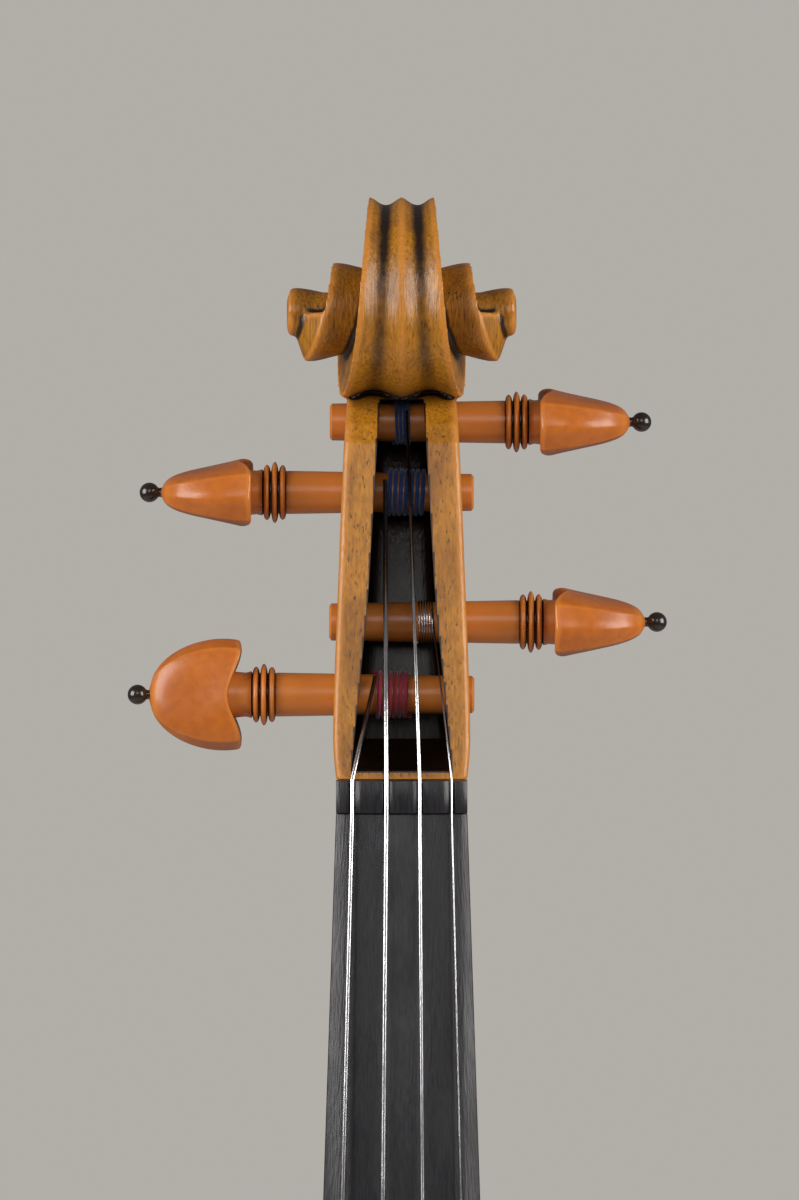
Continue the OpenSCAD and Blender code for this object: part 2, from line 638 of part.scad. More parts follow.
// spiral stations, a quarter turn apart, starting behind the eye and rising over the top
TURN_R = [24.3, 21.9, 19.2, 15.5, 12, 9.6, 9, 8.8, 6.6, 4.9, 4.5];
TURN_W = [8.2, 6.3, 8.1, 11.3, 12.6, 13, 14.5, 18, 19.5, 20.8, 21.2];
STEPS_Q = 7;
TURN_N = 4 * STEPS_Q;
SPIRAL_N = 10 * STEPS_Q;
function smooth(v, q) = let (
    i = min(floor(q), len(v) - 2), t = q - i,
    a = v[max(i - 1, 0)], b = v[i], c = v[i + 1], d = v[min(i + 2, len(v) - 1)])
  b + t * (c - a) / 2 + t * t * (a - 2.5 * b + 2 * c - d / 2) + t * t * t * (1.5 * (b - c) + (d - a) / 2);
function turn_r(i) = smooth(TURN_R, i / STEPS_Q);
function turn_w(i) = smooth(TURN_W, i / STEPS_Q);
flute = 0.9;
ledge_dip = 0.9;
flute_at = (TURN_W[0] - ledge_dip) / TURN_W[4];
function spiral_pt(i, x, r) = let (a = 90 * i / STEPS_Q) [x, eye_d + r * cos(a), eye_u + r * sin(a)];
module scroll() {
  across = [-1, -flute_at, 0, flute_at, 1];
  band = [for (i = [0:TURN_N]) for (c = across)
    spiral_pt(i, c * turn_w(i), turn_r(i) - (abs(c) == flute_at ? flute : 0))];
  inner = [for (i = [TURN_N + 1:SPIRAL_N]) for (s = [1, -1]) each [
    spiral_pt(i, s * turn_w(i), turn_r(i)),
    spiral_pt(i, s * (turn_w(i - TURN_N) - ledge_dip), turn_r(i) - flute)]];
  hub = [for (s = [1, -1]) [s * turn_w(SPIRAL_N), eye_d, eye_u]];
  inner_0 = len(band);
  hub_0 = inner_0 + len(inner);
  function edge_i(i, s) = i <= TURN_N ? 5 * i + (s > 0 ? 4 : 0) : inner_0 + 4 * (i - TURN_N - 1) + (s > 0 ? 0 : 2);
  function foot_i(i, s) = i == TURN_N ? 5 * i + (s > 0 ? 3 : 1) : edge_i(i, s) + 1;
  function flip(f, s) = s > 0 ? f : [for (k = [len(f) - 1:-1:0]) f[k]];
  function quad(a, b, c, d, s) = [flip([a, b, c], s), flip([a, c, d], s)];
  band_f = [for (i = [0:TURN_N - 1]) for (a = [0:3])
    each quad(5 * i + a, 5 * i + a + 1, 5 * i + a + 6, 5 * i + a + 5, 1)];
  side_f = [for (s = [1, -1]) for (i = [TURN_N:SPIRAL_N - 1]) each concat(
    quad(edge_i(i - TURN_N, s), foot_i(i, s), foot_i(i + 1, s), edge_i(i + 1 - TURN_N, s), s),
    quad(foot_i(i, s), edge_i(i, s), edge_i(i + 1, s), foot_i(i + 1, s), s))];
  hub_f = [for (k = [0, 1]) let (s = 1 - 2 * k,
      loop = concat([for (i = [SPIRAL_N - TURN_N:SPIRAL_N]) edge_i(i, s)], [foot_i(SPIRAL_N, s)]))
    for (j = [0:len(loop) - 1]) flip([hub_0 + k, loop[(j + 1) % len(loop)], loop[j]], s)];
  start = [4, 3, 2, 1, 0, 5 * TURN_N + 1, 5 * TURN_N + 2, 5 * TURN_N + 3];
  polyhedron(concat(band, inner, hub), concat(band_f, side_f, hub_f, [start]));
}
module head() {
  color(maple_c) on_neck() difference() {
    union() {
      pegbox();
      scroll();
      translate([-eye_w / 2, eye_d, eye_u]) rotate([0, 90, 0]) cylinder(r = eye_r, h = eye_w, $fn = 48);
    }
    cavity();
    for (p = PEGS) translate([0, p[3], p[2]]) rotate([0, 90 * p[1], 0]) translate([0, 0, -20])
      cylinder(r1 = peg_r_at(-20) + peg_gap, r2 = peg_r_at(20) + peg_gap, h = 40, $fn = 64);
  }
}

// ---- bridge ----
bridge_t = 4.4;
bridge_top_t = 1.4;
treble_drop = 0.045;
function crown_f(x) = belly_top + bridge_h - sag(board_r, x) - treble_drop * x;
function foot_f(x) = rib_h / 2 + h_out(abs(x), bridge_z, belly_arch) + seat_gap;
module bridge() {
  shoulder = bridge_spread / 2 + 2;
  right = concat([for (x = [0:2.5:10]) [x, belly_top + 11 - 4 * pow(x / 10, 2)]],
    [for (x = [9.5:2.5:22]) [x, foot_f(x)]],
    [[22, foot_f(22) + 2.4], [17.6, belly_top + 4], [18.4, belly_top + 8], [20.6, belly_top + 11],
      [19.4, belly_top + 14.5], [16.8, belly_top + 17], [18.4, belly_top + 20]],
    [[shoulder, crown_f(shoulder) - 2.5]]);
  crown = [for (x = [shoulder:-1:-shoulder]) [x, crown_f(x)]];
  left = [for (i = [len(right) - 1:-1:1]) [-right[i][0], right[i][1]]];
  color(belly_c) on_body() translate([0, 0, bridge_z]) intersection() {
    translate([0, 0, -bridge_t / 2]) linear_extrude(bridge_t) mirror([0, 1]) difference() {
      polygon(concat(right, crown, left));
      translate([0, belly_top + 18.5]) circle(3.1, $fn = 32);
      translate([0, belly_top + 15.5]) circle(1.9, $fn = 24);
      for (s = [-1, 1]) translate([s * 12.3, belly_top + 14.6]) circle(2.7, $fn = 28);
      for (s = STRINGS) translate([s[2], crown_f(s[2]) + s[3]]) circle(s[3] + 0.25, $fn = 20);
    }
    side_slab(80) polygon([[-belly_top + 9, -bridge_t / 2], [-belly_top + 9, bridge_t / 2],
      [-belly_top - bridge_h - 2, bridge_top_t / 2], [-belly_top - bridge_h - 2, -bridge_top_t / 2]]);
  }
}

// ---- tailpiece, in its own frame: z along it from the fret, y back ----
fret_z = bridge_z - afterlength;
tail_lift = 3.5;
tail_rise = (crown_f(0) - saddle_top - tail_lift) / (bridge_z - saddle_len / 2);
tail_tilt = atan(tail_rise);
fret_f = crown_f(0) - tail_rise * afterlength - 2;
tail_r = 32;
tail_wall = 3.5;
tail_top = 4;
fret_rise = 0.9;
tail_spread = 0.78;
hole_z = -10;
foot_z = tail_top - tailpiece_len;
gut_x = 4;
gut_y = 2.9;
tail_deep = 9.5;
tail_foot_deep = 5.2;
module on_tail() {
  on_body() translate([0, -fret_f, fret_z]) rotate([tail_tilt, 0, 0]) children();
}
function tail_pt(x, y, z) = [x, y * cos(tail_tilt) - z * sin(tail_tilt) - fret_f,
  y * sin(tail_tilt) + z * cos(tail_tilt) + fret_z];
module tail_arch(r, h0, h1) {
  translate([0, tail_r, h0]) cylinder(r = r, h = h1 - h0, $fn = 96);
}
module tailpiece() {
  plan = [[0, tail_top], [12, tail_top - 0.6], [19, tail_top - 2.4], [20.5, -2], [19, -18], [15.8, -42],
    [12.4, -70], [10.6, foot_z + 6], [8.8, foot_z + 1], [7, foot_z]];
  color(boxwood_c) on_tail() difference() {
    intersection() {
      slab(-2, tail_deep) polygon(concat(plan, mirrored(plan)));
      side_slab(60) polygon([[-2, tail_top], [tail_deep, tail_top], [tail_foot_deep, foot_z], [-2, foot_z]]);
      tail_arch(tail_r, foot_z - 5, tail_top + 5);
    }
    tail_arch(tail_r - tail_wall, foot_z + 8, tail_top + 6);
    for (s = STRINGS) if (s[0] != "e") slab(-3, 12) {
      translate([s[2] * tail_spread, hole_z]) circle(1.5, $fn = 24);
      translate([s[2] * tail_spread - 0.65, hole_z]) square([1.3, 7.2]);
    }
    in_tail_to_tuner() translate([0, 0, screw_z]) rotate([90, 0, 0])
      cylinder(r = screw_r + 0.35, h = 40, center = true, $fn = 32);
    difference() {
      tail_arch(tail_r + 3, -0.6, 0.6);
      tail_arch(tail_r - 1, -2, 2);
    }
    for (x = [-gut_x, gut_x]) translate([x, gut_y, foot_z - 1]) cylinder(r = gut_r + 0.1, h = 12, $fn = 24);
  }
}
module tailpiece_fret() {
  color(ebony_c) on_tail() intersection() {
    difference() {
      tail_arch(tail_r + fret_rise, -0.6, 0.6);
      tail_arch(tail_r - 0.95, -2, 2);
    }
    translate([-18.6, -3, -1]) cube([37.2, 12, 2]);
  }
}

// the gut's route on the treble side, from under the tailpiece to behind the button's neck
GUT_HALF = concat([tail_pt(gut_x, gut_y, foot_z + 8), tail_pt(gut_x, gut_y, foot_z)],
  [[4, -24.5, 3], [4.1, -23.6, 0.2], [4.3, -21.4, -1.4], [4.9, -12, -1.6], [5.2, -4, -1.6],
  [5.1, 0, -1.6], [4.3, 2.8, -1.6], [2.4, 4.5, -1.6], [0, 5.1, -1.6]]);
module tail_gut() {
  bass = [for (p = GUT_HALF) [-p[0], p[1], p[2]]];
  treble = [for (i = [len(GUT_HALF) - 2:-1:0]) GUT_HALF[i]];
  color(ebony_c) on_body() tube(concat(bass, treble), gut_r, 8, [0.02, 0.3, 1]);
}

// ---- fine tuner of the e string, at its own slot of the tailpiece ----
tuner_turn = asin(bridge_spread / 2 * tail_spread / tail_r);
pivot_z = 5.6;
pivot_y = 2.6;
pivot_r = 0.8;
screw_z = -7;
screw_r = 1.25;
lever_y = 7.6;
// its frame lies on the tailpiece's arch: y points into the wood
module in_tail_to_tuner() {
  translate([0, tail_r, 0]) rotate([0, 0, tuner_turn]) translate([0, -tail_r, 0]) children();
}
module on_tuner() {
  on_tail() in_tail_to_tuner() children();
}
function tuner_pt(y, z) =
  tail_pt((tail_r - y) * sin(tuner_turn), tail_r - (tail_r - y) * cos(tuner_turn), z);
module tuner_bracket() {
  color(steel_c) on_tuner() difference() {
    union() {
      translate([-2.6, -1.4, screw_z - 3]) cube([5.2, 1.2, 8.6]);
      translate([-2.6, -2.4, screw_z + 4.4]) cube([5.2, 1.1, 7.6]);
      for (s = [-1, 1]) translate([s * 2.1 - 0.5, -2.4, 3.9]) cube([1, 6.3, 3.2]);
    }
    translate([0, 0, screw_z]) rotate([90, 0, 0]) cylinder(r = screw_r + 0.05, h = 9, center = true, $fn = 32);
    translate([0, pivot_y, pivot_z]) rotate([0, 90, 0]) cylinder(r = pivot_r, h = 9, center = true, $fn = 32);
  }
}
module tuner_pivot() {
  color(steel_c) on_tuner() translate([-2.7, pivot_y, pivot_z]) rotate([0, 90, 0])
    cylinder(r = pivot_r, h = 5.4, $fn = 32);
}
module tuner_lever() {
  color(steel_c) on_tuner() difference() {
    translate([-1.2, 0, 0]) rotate([90, 0, 90]) linear_extrude(2.4) polygon([
      [-2.6, 8.2], [-1.6, 9.4], [1.6, 7.4], [3.9, 6.9], [8.6, 4.4], [8.6, screw_z - 1.4],
      [lever_y, screw_z - 1.4], [lever_y, 3.6], [2.4, 4.4], [0.4, 4.9], [-0.6, 7.2]]);
    translate([0, pivot_y, pivot_z]) rotate([0, 90, 0]) cylinder(r = pivot_r + 0.05, h = 9, center = true, $fn = 32);
  }
}
module tuner_screw() {
  color(steel_c) on_tuner() translate([0, 0, screw_z]) rotate([90, 0, 0]) {
    translate([0, 0, -lever_y + 0.3]) cylinder(r = screw_r, h = lever_y + 5, $fn = 32);
    translate([0, 0, 4.6]) cylinder(r = 3.1, h = 4, $fn = 12);
  }
}

// ---- each string: tailpiece or tuner, bridge, nut, peg ----
function tail_end(s) = s[0] == "e"
  ? [tuner_pt(-3.1, 8.2), tuner_pt(-3.1, 9.8)]
  : let (x = s[2] * tail_spread, y = sag(tail_r, x))
    [tail_pt(x, y + tail_wall + 1, hole_z + 0.4), tail_pt(x, y + 1, hole_z + 2.5),
      tail_pt(x, y - fret_rise - s[3] - 0.05, -0.6), tail_pt(x, y - fret_rise - s[3] - 0.05, 0.6)];
module string(name) {
  s = string_of(name);
  p = peg_of(name);
  clear = winding_r(name) + s[3] + 0.3;
  from = [nut_y(s[1]), nut_t];
  to = [p[3], p[2]] - from;
  swing = asin(clear / norm(to));
  reach = norm(to) * cos(swing);
  dir = atan2(to[0], to[1]) - swing;
  nut_pts = [neck_pt(s[1], nut_y(s[1]), -0.5), neck_pt(s[1], nut_y(s[1]), nut_t)];
  crown = [s[2], -crown_f(s[2]) - s[3] - 0.05, bridge_z];
  color(steel_c) on_body() {
    tube(concat(tail_end(s), [crown], nut_pts,
      [neck_pt(s[4], from[0] + reach * sin(dir), from[1] + reach * cos(dir))]), s[3]);
    if (name != "e") translate(tail_pt(s[2] * tail_spread,
      sag(tail_r, s[2] * tail_spread) + tail_wall + 1.9, hole_z + 0.4)) sphere(r = 1.7, $fn = 24);
  }
}

back_plate();
top_plate();
rib("lower", -1);  // rib_lower_bass
rib("lower", 1);  // rib_lower_treble
rib("waist", -1);  // rib_waist_bass
rib("waist", 1);  // rib_waist_treble
rib("upper", -1);  // rib_upper_bass
rib("upper", 1);  // rib_upper_treble
linings_front();
linings_back();
corner_block(lower_tip, -1);  // block_lower_bass
corner_block(lower_tip, 1);  // block_lower_treble
corner_block(upper_tip, -1);  // block_upper_bass
corner_block(upper_tip, 1);  // block_upper_treble
neck_block();
end_block();
bass_bar();
sound_post();
purfling_front();
purfling_back();
neck();
head();
fingerboard();
nut();
saddle();
end_button();
button_pip();
tail_gut();
tailpiece();
tailpiece_fret();
bridge();
tuner_bracket();
tuner_pivot();
tuner_lever();
tuner_screw();
peg("g");  // peg_g
peg("d");  // peg_d
peg("a");  // peg_a
peg("e");  // peg_e
pip("g");  // pip_g
pip("d");  // pip_d
pip("a");  // pip_a
pip("e");  // pip_e
winding("g");  // winding_g
winding("d");  // winding_d
winding("a");  // winding_a
winding("e");  // winding_e
string("g");  // string_g
string("d");  // string_d
string("a");  // string_a
string("e");  // string_e
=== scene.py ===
"""Full-size violin: varnished maple and spruce, boxwood pegs, ebony fittings and metal strings."""

import json
import logging
import math
from dataclasses import dataclass
from enum import Enum
from typing import Callable, Iterable, Sequence

import bmesh
import bpy
from mathutils import Matrix, Vector

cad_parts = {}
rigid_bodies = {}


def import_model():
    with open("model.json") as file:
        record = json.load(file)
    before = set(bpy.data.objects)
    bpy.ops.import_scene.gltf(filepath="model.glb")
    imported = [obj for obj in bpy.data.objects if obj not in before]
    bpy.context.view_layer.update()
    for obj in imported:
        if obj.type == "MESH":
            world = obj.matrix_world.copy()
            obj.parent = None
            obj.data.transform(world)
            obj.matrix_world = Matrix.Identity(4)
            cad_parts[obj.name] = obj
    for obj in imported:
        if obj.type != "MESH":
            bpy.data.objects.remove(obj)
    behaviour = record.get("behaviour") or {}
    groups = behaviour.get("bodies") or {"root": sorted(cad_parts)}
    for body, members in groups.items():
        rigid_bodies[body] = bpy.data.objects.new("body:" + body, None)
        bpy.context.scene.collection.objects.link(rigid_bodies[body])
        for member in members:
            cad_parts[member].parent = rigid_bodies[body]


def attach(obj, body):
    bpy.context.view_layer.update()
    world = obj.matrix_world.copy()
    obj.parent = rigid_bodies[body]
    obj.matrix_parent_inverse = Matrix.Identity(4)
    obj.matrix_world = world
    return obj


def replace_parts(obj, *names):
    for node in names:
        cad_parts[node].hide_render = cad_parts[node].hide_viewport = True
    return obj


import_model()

LOG = logging.getLogger("violin")
MM = 0.001
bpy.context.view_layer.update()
Rgb = tuple[float, float, float]
Point = tuple[float, float, float]

# The neck's frame: tilted back from the body, with its origin on the glue surface at the fingerboard's end.
NECK_TILT = math.radians(6.0256)
NECK_ORIGIN = Vector((0.0, -12.2777 * MM, 492.0 * MM))
NECK = Matrix.Translation(NECK_ORIGIN) @ Matrix.Rotation(-NECK_TILT, 4, "X") @ Matrix.Scale(MM, 4)
NUT_T = 5.9
PEG_GAP = 0.04


def neck_point(x: float, back: float, up: float) -> Vector:
    """A point given in the neck's frame, in mm.

    Args:
        x: distance towards the treble side.
        back: depth behind the fingerboard's glue surface.
        up: height above the fingerboard's end.

    Returns:
        The same point in the model's frame, in metres.
    """
    return NECK @ Vector((x, back, up))


def lerp(a: float, b: float, t: float) -> float:
    """The value a share t of the way from a to b."""
    return a + (b - a) * t


def on_line(knots: Sequence[tuple[float, float]], at: float) -> float:
    """Straight-line reading of a list of (place, value) knots."""
    if at <= knots[0][0]:
        return knots[0][1]
    for (a, va), (b, vb) in zip(knots, knots[1:]):
        if at <= b:
            return lerp(va, vb, (at - a) / (b - a))
    return knots[-1][1]


def smooth_line(knots: Sequence[tuple[float, float]], at: float) -> float:
    """Smooth reading of (place, value) knots, with a slope taken from each knot's neighbours."""
    last = len(knots) - 1
    at = min(max(at, knots[0][0]), knots[-1][0])
    i = max(k for k in range(last) if knots[k][0] <= at)
    (x0, y0), (x1, y1) = knots[i], knots[i + 1]

    def slope(k: int) -> float:
        a, b = knots[max(k - 1, 0)], knots[min(k + 1, last)]
        return (b[1] - a[1]) / (b[0] - a[0])

    span = x1 - x0
    t = (at - x0) / span
    return ((2 * t**3 - 3 * t**2 + 1) * y0 + (t**3 - 2 * t**2 + t) * span * slope(i)
            + (3 * t**2 - 2 * t**3) * y1 + (t**3 - t**2) * span * slope(i + 1))


# ---------------------------------------------------------------- meshes


def select_only(obj: bpy.types.Object) -> None:
    """Makes obj the active and only selected object."""
    bpy.ops.object.select_all(action="DESELECT")
    obj.select_set(True)
    bpy.context.view_layer.objects.active = obj


def mesh_object(name: str, points: Iterable[Sequence[float]],
                faces: Iterable[Sequence[int]]) -> bpy.types.Object:
    """A new object from points in metres and faces, with doubles merged and faces pointing out."""
    mesh = bpy.data.meshes.new(name)
    mesh.from_pydata([tuple(p) for p in points], [], [tuple(f) for f in faces])
    work = bmesh.new()
    work.from_mesh(mesh)
    bmesh.ops.remove_doubles(work, verts=work.verts, dist=1e-6)
    bmesh.ops.dissolve_degenerate(work, edges=work.edges, dist=1e-7)
    bmesh.ops.recalc_face_normals(work, faces=work.faces)
    work.to_mesh(mesh)
    work.free()
    obj = bpy.data.objects.new(name, mesh)
    bpy.context.scene.collection.objects.link(obj)
    return obj


def loft(name: str, rows: Sequence[Sequence[Vector]], capped: bool = True) -> bpy.types.Object:
    """Joins closed rows of points into a tube, with both ends capped."""
    n = len(rows[0])
    points = [p for row in rows for p in row]
    faces = [(i * n + j, i * n + (j + 1) % n, (i + 1) * n + (j + 1) % n, (i + 1) * n + j)
             for i in range(len(rows) - 1) for j in range(n)]
    if capped:
        faces += [tuple(range(n)), tuple((len(rows) - 1) * n + j for j in range(n))]
    return mesh_object(name, points, faces)


def apply_modifier(obj: bpy.types.Object, kind: str, **settings: object) -> None:
    """Adds a modifier of that kind, sets it and applies it."""
    select_only(obj)
    modifier = obj.modifiers.new(kind, kind)
    for key, value in settings.items():
        setattr(modifier, key, value)
    bpy.ops.object.modifier_apply(modifier=modifier.name)


def cut(obj: bpy.types.Object, cutter: bpy.types.Object) -> None:
    """Cuts cutter's shape out of obj and removes the cutter."""
    apply_modifier(obj, "BOOLEAN", operation="DIFFERENCE", solver="EXACT", object=cutter)
    bpy.data.objects.remove(cutter)


def join(name: str, parts: Sequence[bpy.types.Object]) -> bpy.types.Object:
    """Joins several objects into the first, which takes the name."""
    bpy.ops.object.select_all(action="DESELECT")
    for part in parts:
        part.select_set(True)
    bpy.context.view_layer.objects.active = parts[0]
    bpy.ops.object.join()
    parts[0].name = name
    return parts[0]


def smooth(obj: bpy.types.Object, degrees: float = 40.0) -> bpy.types.Object:
    """Smooth shading, with edges sharper than the angle left crisp."""
    select_only(obj)
    bpy.ops.object.shade_smooth_by_angle(angle=math.radians(degrees))
    return obj


def spin_profile(name: str, profile: Sequence[tuple[float, float]], steps: int = 64) -> bpy.types.Object:
    """Turns a profile of (height, radius) in mm round Z, as on a lathe.

    Returns:
        The turned object, upright on the origin, in mm.
    """
    mesh = bpy.data.meshes.new(name)
    mesh.from_pydata([(r, 0.0, z) for z, r in profile], [(i, i + 1) for i in range(len(profile) - 1)], [])
    obj = bpy.data.objects.new(name, mesh)
    bpy.context.scene.collection.objects.link(obj)
    select_only(obj)
    bpy.ops.object.mode_set(mode="EDIT")
    bpy.ops.mesh.select_all(action="SELECT")
    bpy.ops.mesh.spin(steps=steps, angle=math.tau, center=(0, 0, 0), axis=(0, 0, 1))
    bpy.ops.mesh.select_all(action="SELECT")
    bpy.ops.mesh.remove_doubles(threshold=1e-4)
    bpy.ops.mesh.normals_make_consistent(inside=False)
    bpy.ops.object.mode_set(mode="OBJECT")
    return obj


def place(obj: bpy.types.Object, matrix: Matrix) -> bpy.types.Object:
    """Puts the mesh where the matrix says and leaves the object at the origin."""
    obj.data.transform(matrix)
    if matrix.determinant() < 0:
        obj.data.flip_normals()
    obj.data.update()
    return obj


def tube(name: str, path: Sequence[Vector], radius: Callable[[float, float], float] | float,
         sides: int = 12) -> bpy.types.Object:
    """A tube along a path; radius may depend on the share of its length and the angle round it."""
    rows: list[list[Vector]] = []
    normal = Vector((1.0, 0.013, 0.021))
    for i, p in enumerate(path):
        t = (path[min(i + 1, len(path) - 1)] - path[max(i - 1, 0)]).normalized()
        normal = (normal - normal.dot(t) * t).normalized()
        side = t.cross(normal)
        row = []
        for j in range(sides):
            a = math.tau * j / sides
            r = radius(i / (len(path) - 1), a) if callable(radius) else radius
            row.append(p + r * (math.cos(a) * normal + math.sin(a) * side))
        rows.append(row)
    return loft(name, rows)


def mark_hollows(obj: bpy.types.Object, reach: int = 6) -> None:
    """Writes the attribute wear: under 0.5 in hollows, which finishes paint darker with dirt and painted
    shade, over 0.5 on raised edges.
    """
    work = bmesh.new()
    work.from_mesh(obj.data)
    work.verts.ensure_lookup_table()
    raw = []
    for v in work.verts:
        around = [e.other_vert(v) for e in v.link_edges]
        if not around:
            raw.append(0.0)
            continue
        mean = sum((w.co for w in around), Vector()) / len(around)
        size = sum((w.co - v.co).length for w in around) / len(around)
        raw.append((v.co - mean).dot(v.normal) / max(size, 1e-9))
    for _ in range(reach):
        raw = [(raw[v.index] + sum(raw[e.other_vert(v).index] for e in v.link_edges))
               / (1 + len(v.link_edges)) for v in work.verts]
    work.free()
    layer = obj.data.attributes.new("wear", "FLOAT", "POINT")
    layer.data.foreach_set("value", [min(1.0, max(0.0, 0.5 + 6.0 * value)) for value in raw])


# ---------------------------------------------------------------- finishes


class Grain(Enum):
    """How a finish is figured."""
    PLAIN = "plain"
    FLAMED = "flamed"


@dataclass(frozen=True)
class Finish:
    """A procedural surface: colour varied by long grain, flecks and wear, with hollows darkened by dirt and
    painted shade, and matching bump.

    The colours are linear. grain_mm is the width of the grain and stretch how much longer it runs along Z.
    """
    name: str
    base: Rgb
    dark: Rgb
    rough: float = 0.4
    coat: float = 0.0
    metal: float = 0.0
    grain_mm: float = 0.8
    stretch: float = 12.0
    contrast: float = 0.5
    fleck: float = 0.0
    wear: Rgb | None = None
    dirt_and_shade: Rgb | None = None
    bump: float = 0.15
    sheen: float = 0.0
    grain: Grain = Grain.PLAIN

    def _mapping(self, tree: bpy.types.NodeTree, scale: Point) -> bpy.types.NodeSocket:
        """Object coordinates scaled along the three axes."""
        coords = tree.nodes.new("ShaderNodeTexCoord")
        mapping = tree.nodes.new("ShaderNodeMapping")
        mapping.inputs["Scale"].default_value = scale
        tree.links.new(coords.outputs["Object"], mapping.inputs["Vector"])
        return mapping.outputs["Vector"]

    def _noise(self, tree: bpy.types.NodeTree, scale: Point, detail: float, low: float,
               high: float) -> bpy.types.NodeSocket:
        """Noise brought to 0 to 1 between two of its levels."""
        noise = tree.nodes.new("ShaderNodeTexNoise")
        noise.inputs["Scale"].default_value = 1.0
        noise.inputs["Detail"].default_value = detail
        tree.links.new(self._mapping(tree, scale), noise.inputs["Vector"])
        ranged = tree.nodes.new("ShaderNodeMapRange")
        ranged.inputs["From Min"].default_value = low
        ranged.inputs["From Max"].default_value = high
        tree.links.new(noise.outputs["Fac"], ranged.inputs["Value"])
        return ranged.outputs["Result"]

    def _mix(self, tree: bpy.types.NodeTree, amount: bpy.types.NodeSocket, under: object,
             over: Rgb) -> bpy.types.NodeSocket:
        """Lays a colour over another by an amount."""
        mix = tree.nodes.new("ShaderNodeMix")
        mix.data_type = "RGBA"
        tree.links.new(amount, mix.inputs["Factor"])
        if isinstance(under, tuple):
            mix.inputs[6].default_value = (*under, 1.0)
        else:
            tree.links.new(under, mix.inputs[6])
        mix.inputs[7].default_value = (*over, 1.0)
        return mix.outputs[2]

    def _scaled(self, tree: bpy.types.NodeTree, value: bpy.types.NodeSocket,
                by: float) -> bpy.types.NodeSocket:
        """A value times a number."""
        math_node = tree.nodes.new("ShaderNodeMath")
        math_node.operation = "MULTIPLY"
        math_node.inputs[1].default_value = by
        tree.links.new(value, math_node.inputs[0])
        return math_node.outputs[0]

    def _wear(self, tree: bpy.types.NodeTree, start: float, end: float) -> bpy.types.NodeSocket:
        """How far the wear attribute lies from start towards end."""
        attribute = tree.nodes.new("ShaderNodeAttribute")
        attribute.attribute_name = "wear"
        ranged = tree.nodes.new("ShaderNodeMapRange")
        ranged.inputs["From Min"].default_value = start
        ranged.inputs["From Max"].default_value = end
        tree.links.new(attribute.outputs["Fac"], ranged.inputs["Value"])
        return ranged.outputs["Result"]

    def build(self) -> bpy.types.Material:
        """Makes the material.

        Returns:
            The material, named after the finish.
        """
        found = bpy.data.materials.get("finish_" + self.name)
        if found:
            return found
        material = bpy.data.materials.new("finish_" + self.name)
        material.use_nodes = True
        tree = material.node_tree
        shader = tree.nodes["Principled BSDF"]
        across = 1.0 / (self.grain_mm * MM)
        lengthwise = across / self.stretch
        if self.grain is Grain.FLAMED:
            flame = self._noise(tree, (25.0, 25.0, 260.0), 2.0, 0.38, 0.62)
            colour = self._mix(tree, self._scaled(tree, flame, 0.45), self.base, self.dark)
            fibre = self._noise(tree, (across, across, lengthwise), 3.0, 0.35, 0.7)
            colour = self._mix(tree, self._scaled(tree, fibre, self.contrast), colour, self.dark)
        else:
            fibre = self._noise(tree, (across, across, lengthwise), 4.0, 0.35, 0.7)
            colour = self._mix(tree, self._scaled(tree, fibre, self.contrast), self.base, self.dark)
        cloud = self._noise(tree, (110.0, 110.0, 60.0), 4.0, 0.44, 0.66)
        patchy = 0.6 if self.fleck > 0.5 else 0.3
        colour = self._mix(tree, self._scaled(tree, cloud, patchy), colour, self.dark)
        if self.fleck > 0:
            fleck = self._noise(tree, (2600.0, 2600.0, 380.0), 2.0, 0.60, 0.72)
            colour = self._mix(tree, self._scaled(tree, fleck, self.fleck), colour, self.dirt_and_shade or self.dark)
        # Hollows take the dirt colour: partly real dirt, partly painted shade where shade falls in them.
        if self.dirt_and_shade:
            hollow_dirt_and_shade = self._scaled(tree, self._wear(tree, 0.47, 0.30), 0.97)
            colour = self._mix(tree, hollow_dirt_and_shade, colour, self.dirt_and_shade)
        if self.wear:
            colour = self._mix(tree, self._scaled(tree, self._wear(tree, 0.60, 0.85), 0.8), colour, self.wear)
        tree.links.new(colour, shader.inputs["Base Color"])
        shader.inputs["Metallic"].default_value = self.metal
        rough = tree.nodes.new("ShaderNodeMapRange")
        rough.inputs["To Min"].default_value = self.rough * 0.85
        rough.inputs["To Max"].default_value = min(1.0, self.rough * 1.25)
        tree.links.new(cloud, rough.inputs["Value"])
        tree.links.new(rough.outputs["Result"], shader.inputs["Roughness"])
        shader.inputs["Coat Weight"].default_value = self.coat
        if not self.metal:
            shader.inputs["Specular IOR Level"].default_value = 0.34
        shader.inputs["Coat Roughness"].default_value = 0.22
        shader.inputs["Sheen Weight"].default_value = self.sheen
        bump = tree.nodes.new("ShaderNodeBump")
        bump.inputs["Strength"].default_value = self.bump
        bump.inputs["Distance"].default_value = 0.0003
        tree.links.new(fibre, bump.inputs["Height"])
        tree.links.new(bump.outputs["Normal"], shader.inputs["Normal"])
        return material

    def dress(self, obj: bpy.types.Object, slot: str | None = None) -> bpy.types.Object:
        """Puts the finish on every slot of an object."""
        material = self.build()
        obj.data.materials.clear()
        obj.data.materials.append(material)
        return obj
